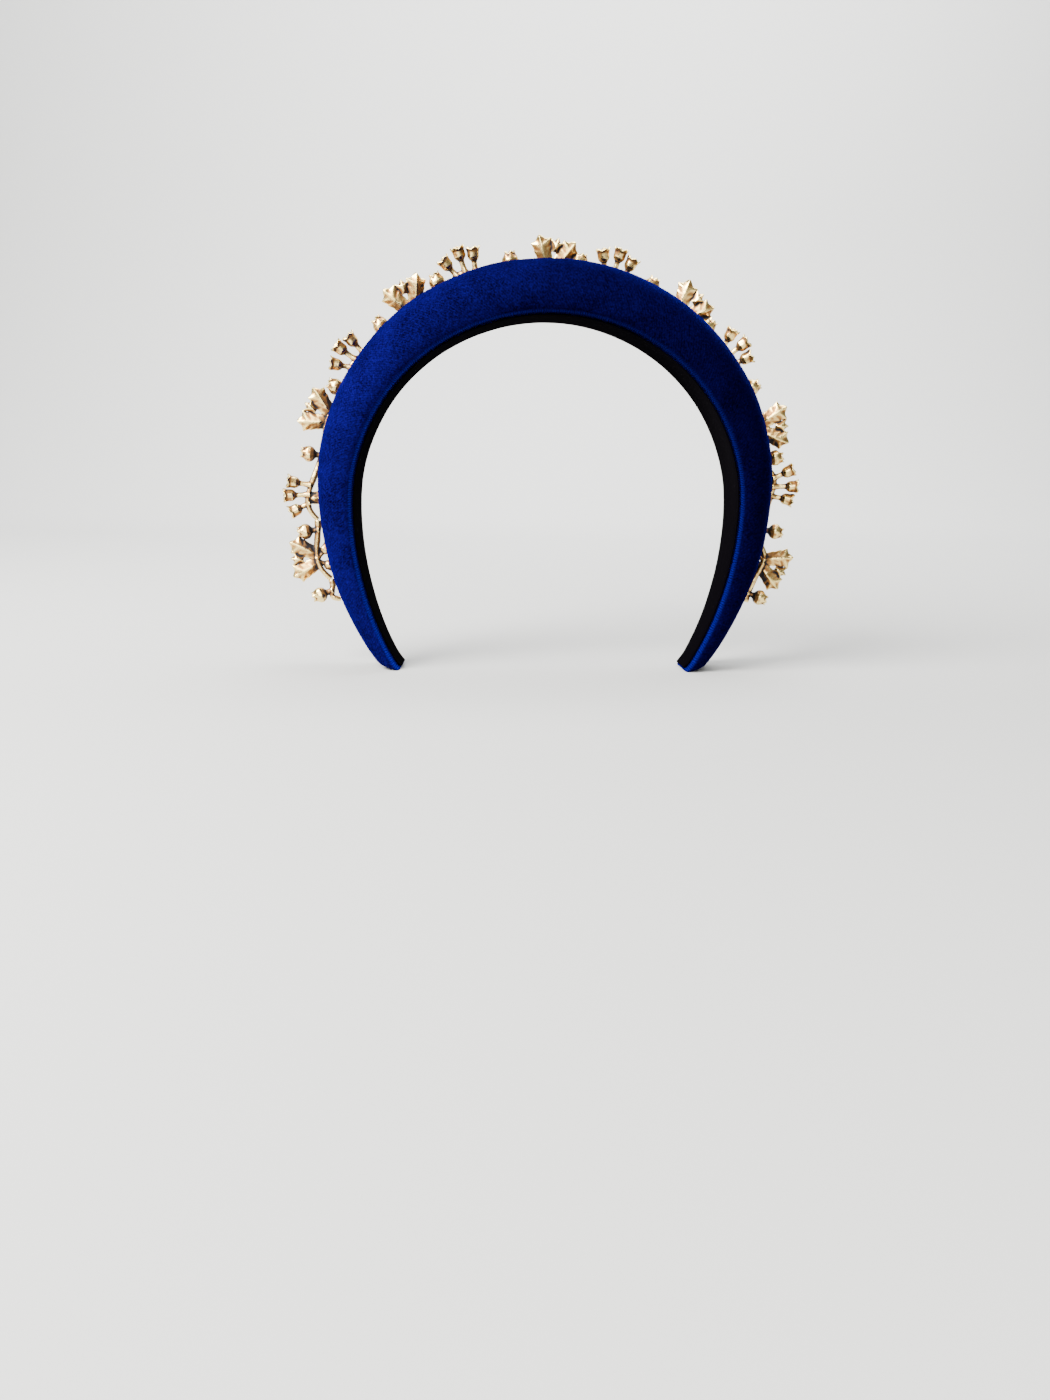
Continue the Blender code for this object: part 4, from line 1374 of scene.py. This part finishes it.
def goldMaterial():
    material, recipe, shader = newMaterial("antiqueGold", {"Specular IOR Level": 0.5})
    place = recipe.node("ShaderNodeTexCoord", None, None, output="Object")
    recess = recipe.node("ShaderNodeAttribute", {"attribute_name": "recess"}, None, output="Fac")
    fine = recipe.node("ShaderNodeTexNoise", None, {
        "Vector": place, "Scale": 900.0, "Detail": 4.0, "Roughness": 0.65})
    broad = recipe.node("ShaderNodeTexNoise", None, {
        "Vector": place, "Scale": 140.0, "Detail": 3.0, "Roughness": 0.6})
    # dark patina in creases and hollows, together with painted shade towards the velvet and near the stems,
    # darkens the colour
    patinaAndShade = (recess + (fine - 0.5) * 0.14 + (broad - 0.5) * 0.26).clipped(0.00, 0.36)
    polish = (0.0 - recess + (fine - 0.5) * 0.20).clipped(-0.08, 0.20)
    gold = recipe.mixed(broad.clipped(0.3, 0.7), (0.33, 0.135, 0.034), (0.58, 0.290, 0.082))
    bright = recipe.mixed(polish, gold, (1.0, 0.76, 0.29))
    colour = recipe.mixed(patinaAndShade, bright, (0.006, 0.004, 0.006))
    grain = recipe.node("ShaderNodeTexNoise", None, {
        "Vector": place, "Scale": 2200.0, "Detail": 3.0, "Roughness": 0.6})
    bump = recipe.node("ShaderNodeBump", None, {
        "Height": grain + broad * 0.6, "Strength": 0.35, "Distance": 0.00015})
    rough = 0.24 + fine * 0.12 + patinaAndShade * 0.36 - polish * 0.06
    plug(recipe, shader, Base_Color=colour, Normal=bump, Roughness=rough,
         Metallic=1.0 - patinaAndShade * 0.55)
    return material


def buildGarland(finish):
    shelf, order = makePatterns()
    recipe, identifiers = castingTree()
    triangles = 0
    for seed, (name, node, run, places) in enumerate(castingPlan()):
        source = spraySource(name, run, places, order)
        rough = growMesh(name, source, recipe, identifiers, {
            "Patterns": shelf, "Stem Sides": vineStem["sides"], "Finish": finish})
        mesh = fuseCasting(rough, name)
        finishCasting(mesh, seed, run)
        mesh.materials.clear()
        mesh.materials.append(finish)
        addPiece(name, mesh, "antique_gold", node)
        triangles += sum(len(p.vertices) - 2 for p in mesh.polygons)
    for pattern in list(shelf.objects):
        bpy.data.objects.remove(pattern, do_unlink=True)
    bpy.data.collections.remove(shelf)
    print("garland cast:", triangles, "triangles")


# Floor, light and camera
studio = {
    "floorSize": 3.0,
    "sweepStart": 0.75,  # the floor curves up this far behind the headband
    "sweepRadius": 0.45,
    "sweepHeight": 1.6,
    "worldStrength": 0.28,
    "keyPower": 40.0,
    "fillPower": 8.0,
    "backPower": 45.0,
}

view = {
    "place": (0.0244, 0.4266, 0.0888),  # from the middle between the tips
    "turn": math.radians(2.30),
    "pitch": math.radians(13.65),
    "roll": math.radians(0.82),
    "lens": 25.714,
}


def buildSweep():
    # floor that curves up into a backdrop behind the headband, seen from the camera
    reach, radius = studio["floorSize"] / 2, studio["sweepRadius"]
    outline = [(reach, 0.0), (-studio["sweepStart"], 0.0)]
    for i in range(1, 17):
        turn = math.pi / 2 * i / 16
        outline.append((-studio["sweepStart"] - radius * math.sin(turn), radius * (1 - math.cos(turn))))
    outline.append((outline[-1][0], studio["sweepHeight"]))
    points = [(x, y, z) for y, z in outline for x in (-studio["floorSize"], studio["floorSize"])]
    faces = [(2 * i, 2 * i + 1, 2 * i + 3, 2 * i + 2) for i in range(len(outline) - 1)]
    mesh = bpy.data.meshes.new("paleSweep")
    mesh.from_pydata(points, [], faces)
    mesh.shade_smooth()
    sweep = bpy.data.objects.new("paleSweep", mesh)
    bpy.context.collection.objects.link(sweep)
    material, recipe, shader = newMaterial("palePaper", {"Roughness": 0.9, "Specular IOR Level": 0.1})
    # painted shade: the paper is painted darker from behind the headband towards the camera
    depth = recipe.node("ShaderNodeSeparateXYZ", None, {
        0: recipe.node("ShaderNodeTexCoord", None, None, output="Object")}, output=1)
    paintedFloorShade = recipe.mixed(depth.clipped(-0.85, 0.05), (0.72, 0.725, 0.715), (0.40, 0.403, 0.397))
    plug(recipe, shader, Base_Color=paintedFloorShade)
    mesh.materials.append(material)


def addSoftLight(name, power, size, place, aim, colour):
    light = bpy.data.lights.new(name, "AREA")
    light.shape = "DISK"
    light.energy = power
    light.size = size
    light.color = colour
    lamp = bpy.data.objects.new(name, light)
    lamp.location = place
    lamp.rotation_euler = (Vector(aim) - Vector(place)).to_track_quat("-Z", "Y").to_euler()
    bpy.context.collection.objects.link(lamp)


def buildStudio():
    buildSweep()
    world = bpy.data.worlds.new("paleRoom")
    world.use_nodes = True
    background = world.node_tree.nodes["Background"]
    background.inputs["Color"].default_value = (0.90, 0.93, 0.96, 1.0)
    background.inputs["Strength"].default_value = studio["worldStrength"]
    bpy.context.scene.world = world
    aim = (0.0, 0.0, 0.09)
    addSoftLight("keyLight", studio["keyPower"], 0.55, (0.55, 0.40, 0.60), aim, (1.0, 0.98, 0.95))
    addSoftLight("fillLight", studio["fillPower"], 0.60, (0.12, 0.75, 0.45), aim, (1.0, 0.99, 0.97))
    addSoftLight("backLight", studio["backPower"], 1.2, (-0.2, -0.35, 1.3), (0.0, -1.2, 0.2), (1.0, 1.0, 1.0))


def buildCamera():
    camera = bpy.data.cameras.new("viewCamera")
    camera.lens = view["lens"]
    camera.sensor_width = 36.0
    camera.clip_start = 0.01
    eye = bpy.data.objects.new("viewCamera", camera)
    forward = Vector((-math.sin(view["turn"]) * math.cos(view["pitch"]),
                      -math.cos(view["turn"]) * math.cos(view["pitch"]), -math.sin(view["pitch"])))
    middle = stand @ Vector((0.0, 0.0, 0.0))
    eye.location = middle + Vector(view["place"])
    turn = forward.to_track_quat("-Z", "Y").to_matrix().to_4x4()
    eye.rotation_euler = (turn @ Matrix.Rotation(view["roll"], 4, "Z")).to_euler()
    bpy.context.collection.objects.link(eye)
    bpy.context.scene.camera = eye


def dressBand():
    velvet = velvetMaterial()
    cover = buildVelvetCover()
    cover.materials.append(velvet)
    piece = addPiece("velvetCover", cover, "blue_velvet", "padded_band")
    print("velvet cover made:", len(cover.polygons), "faces")
    pile = buildVelvetPile(cover, pileMaterial())
    addPiece("velvetPile", pile, "blue_velvet")
    print("velvet pile grown:", len(pile.polygons), "faces")
    lining = buildLiningRibbon()
    lining.materials.append(liningMaterial())
    addPiece("liningRibbon", lining, "black_lining", "inner_lining")
    print("lining laid")


dressBand()
buildGarland(goldMaterial())
buildStudio()
buildCamera()
print("studio and camera set")
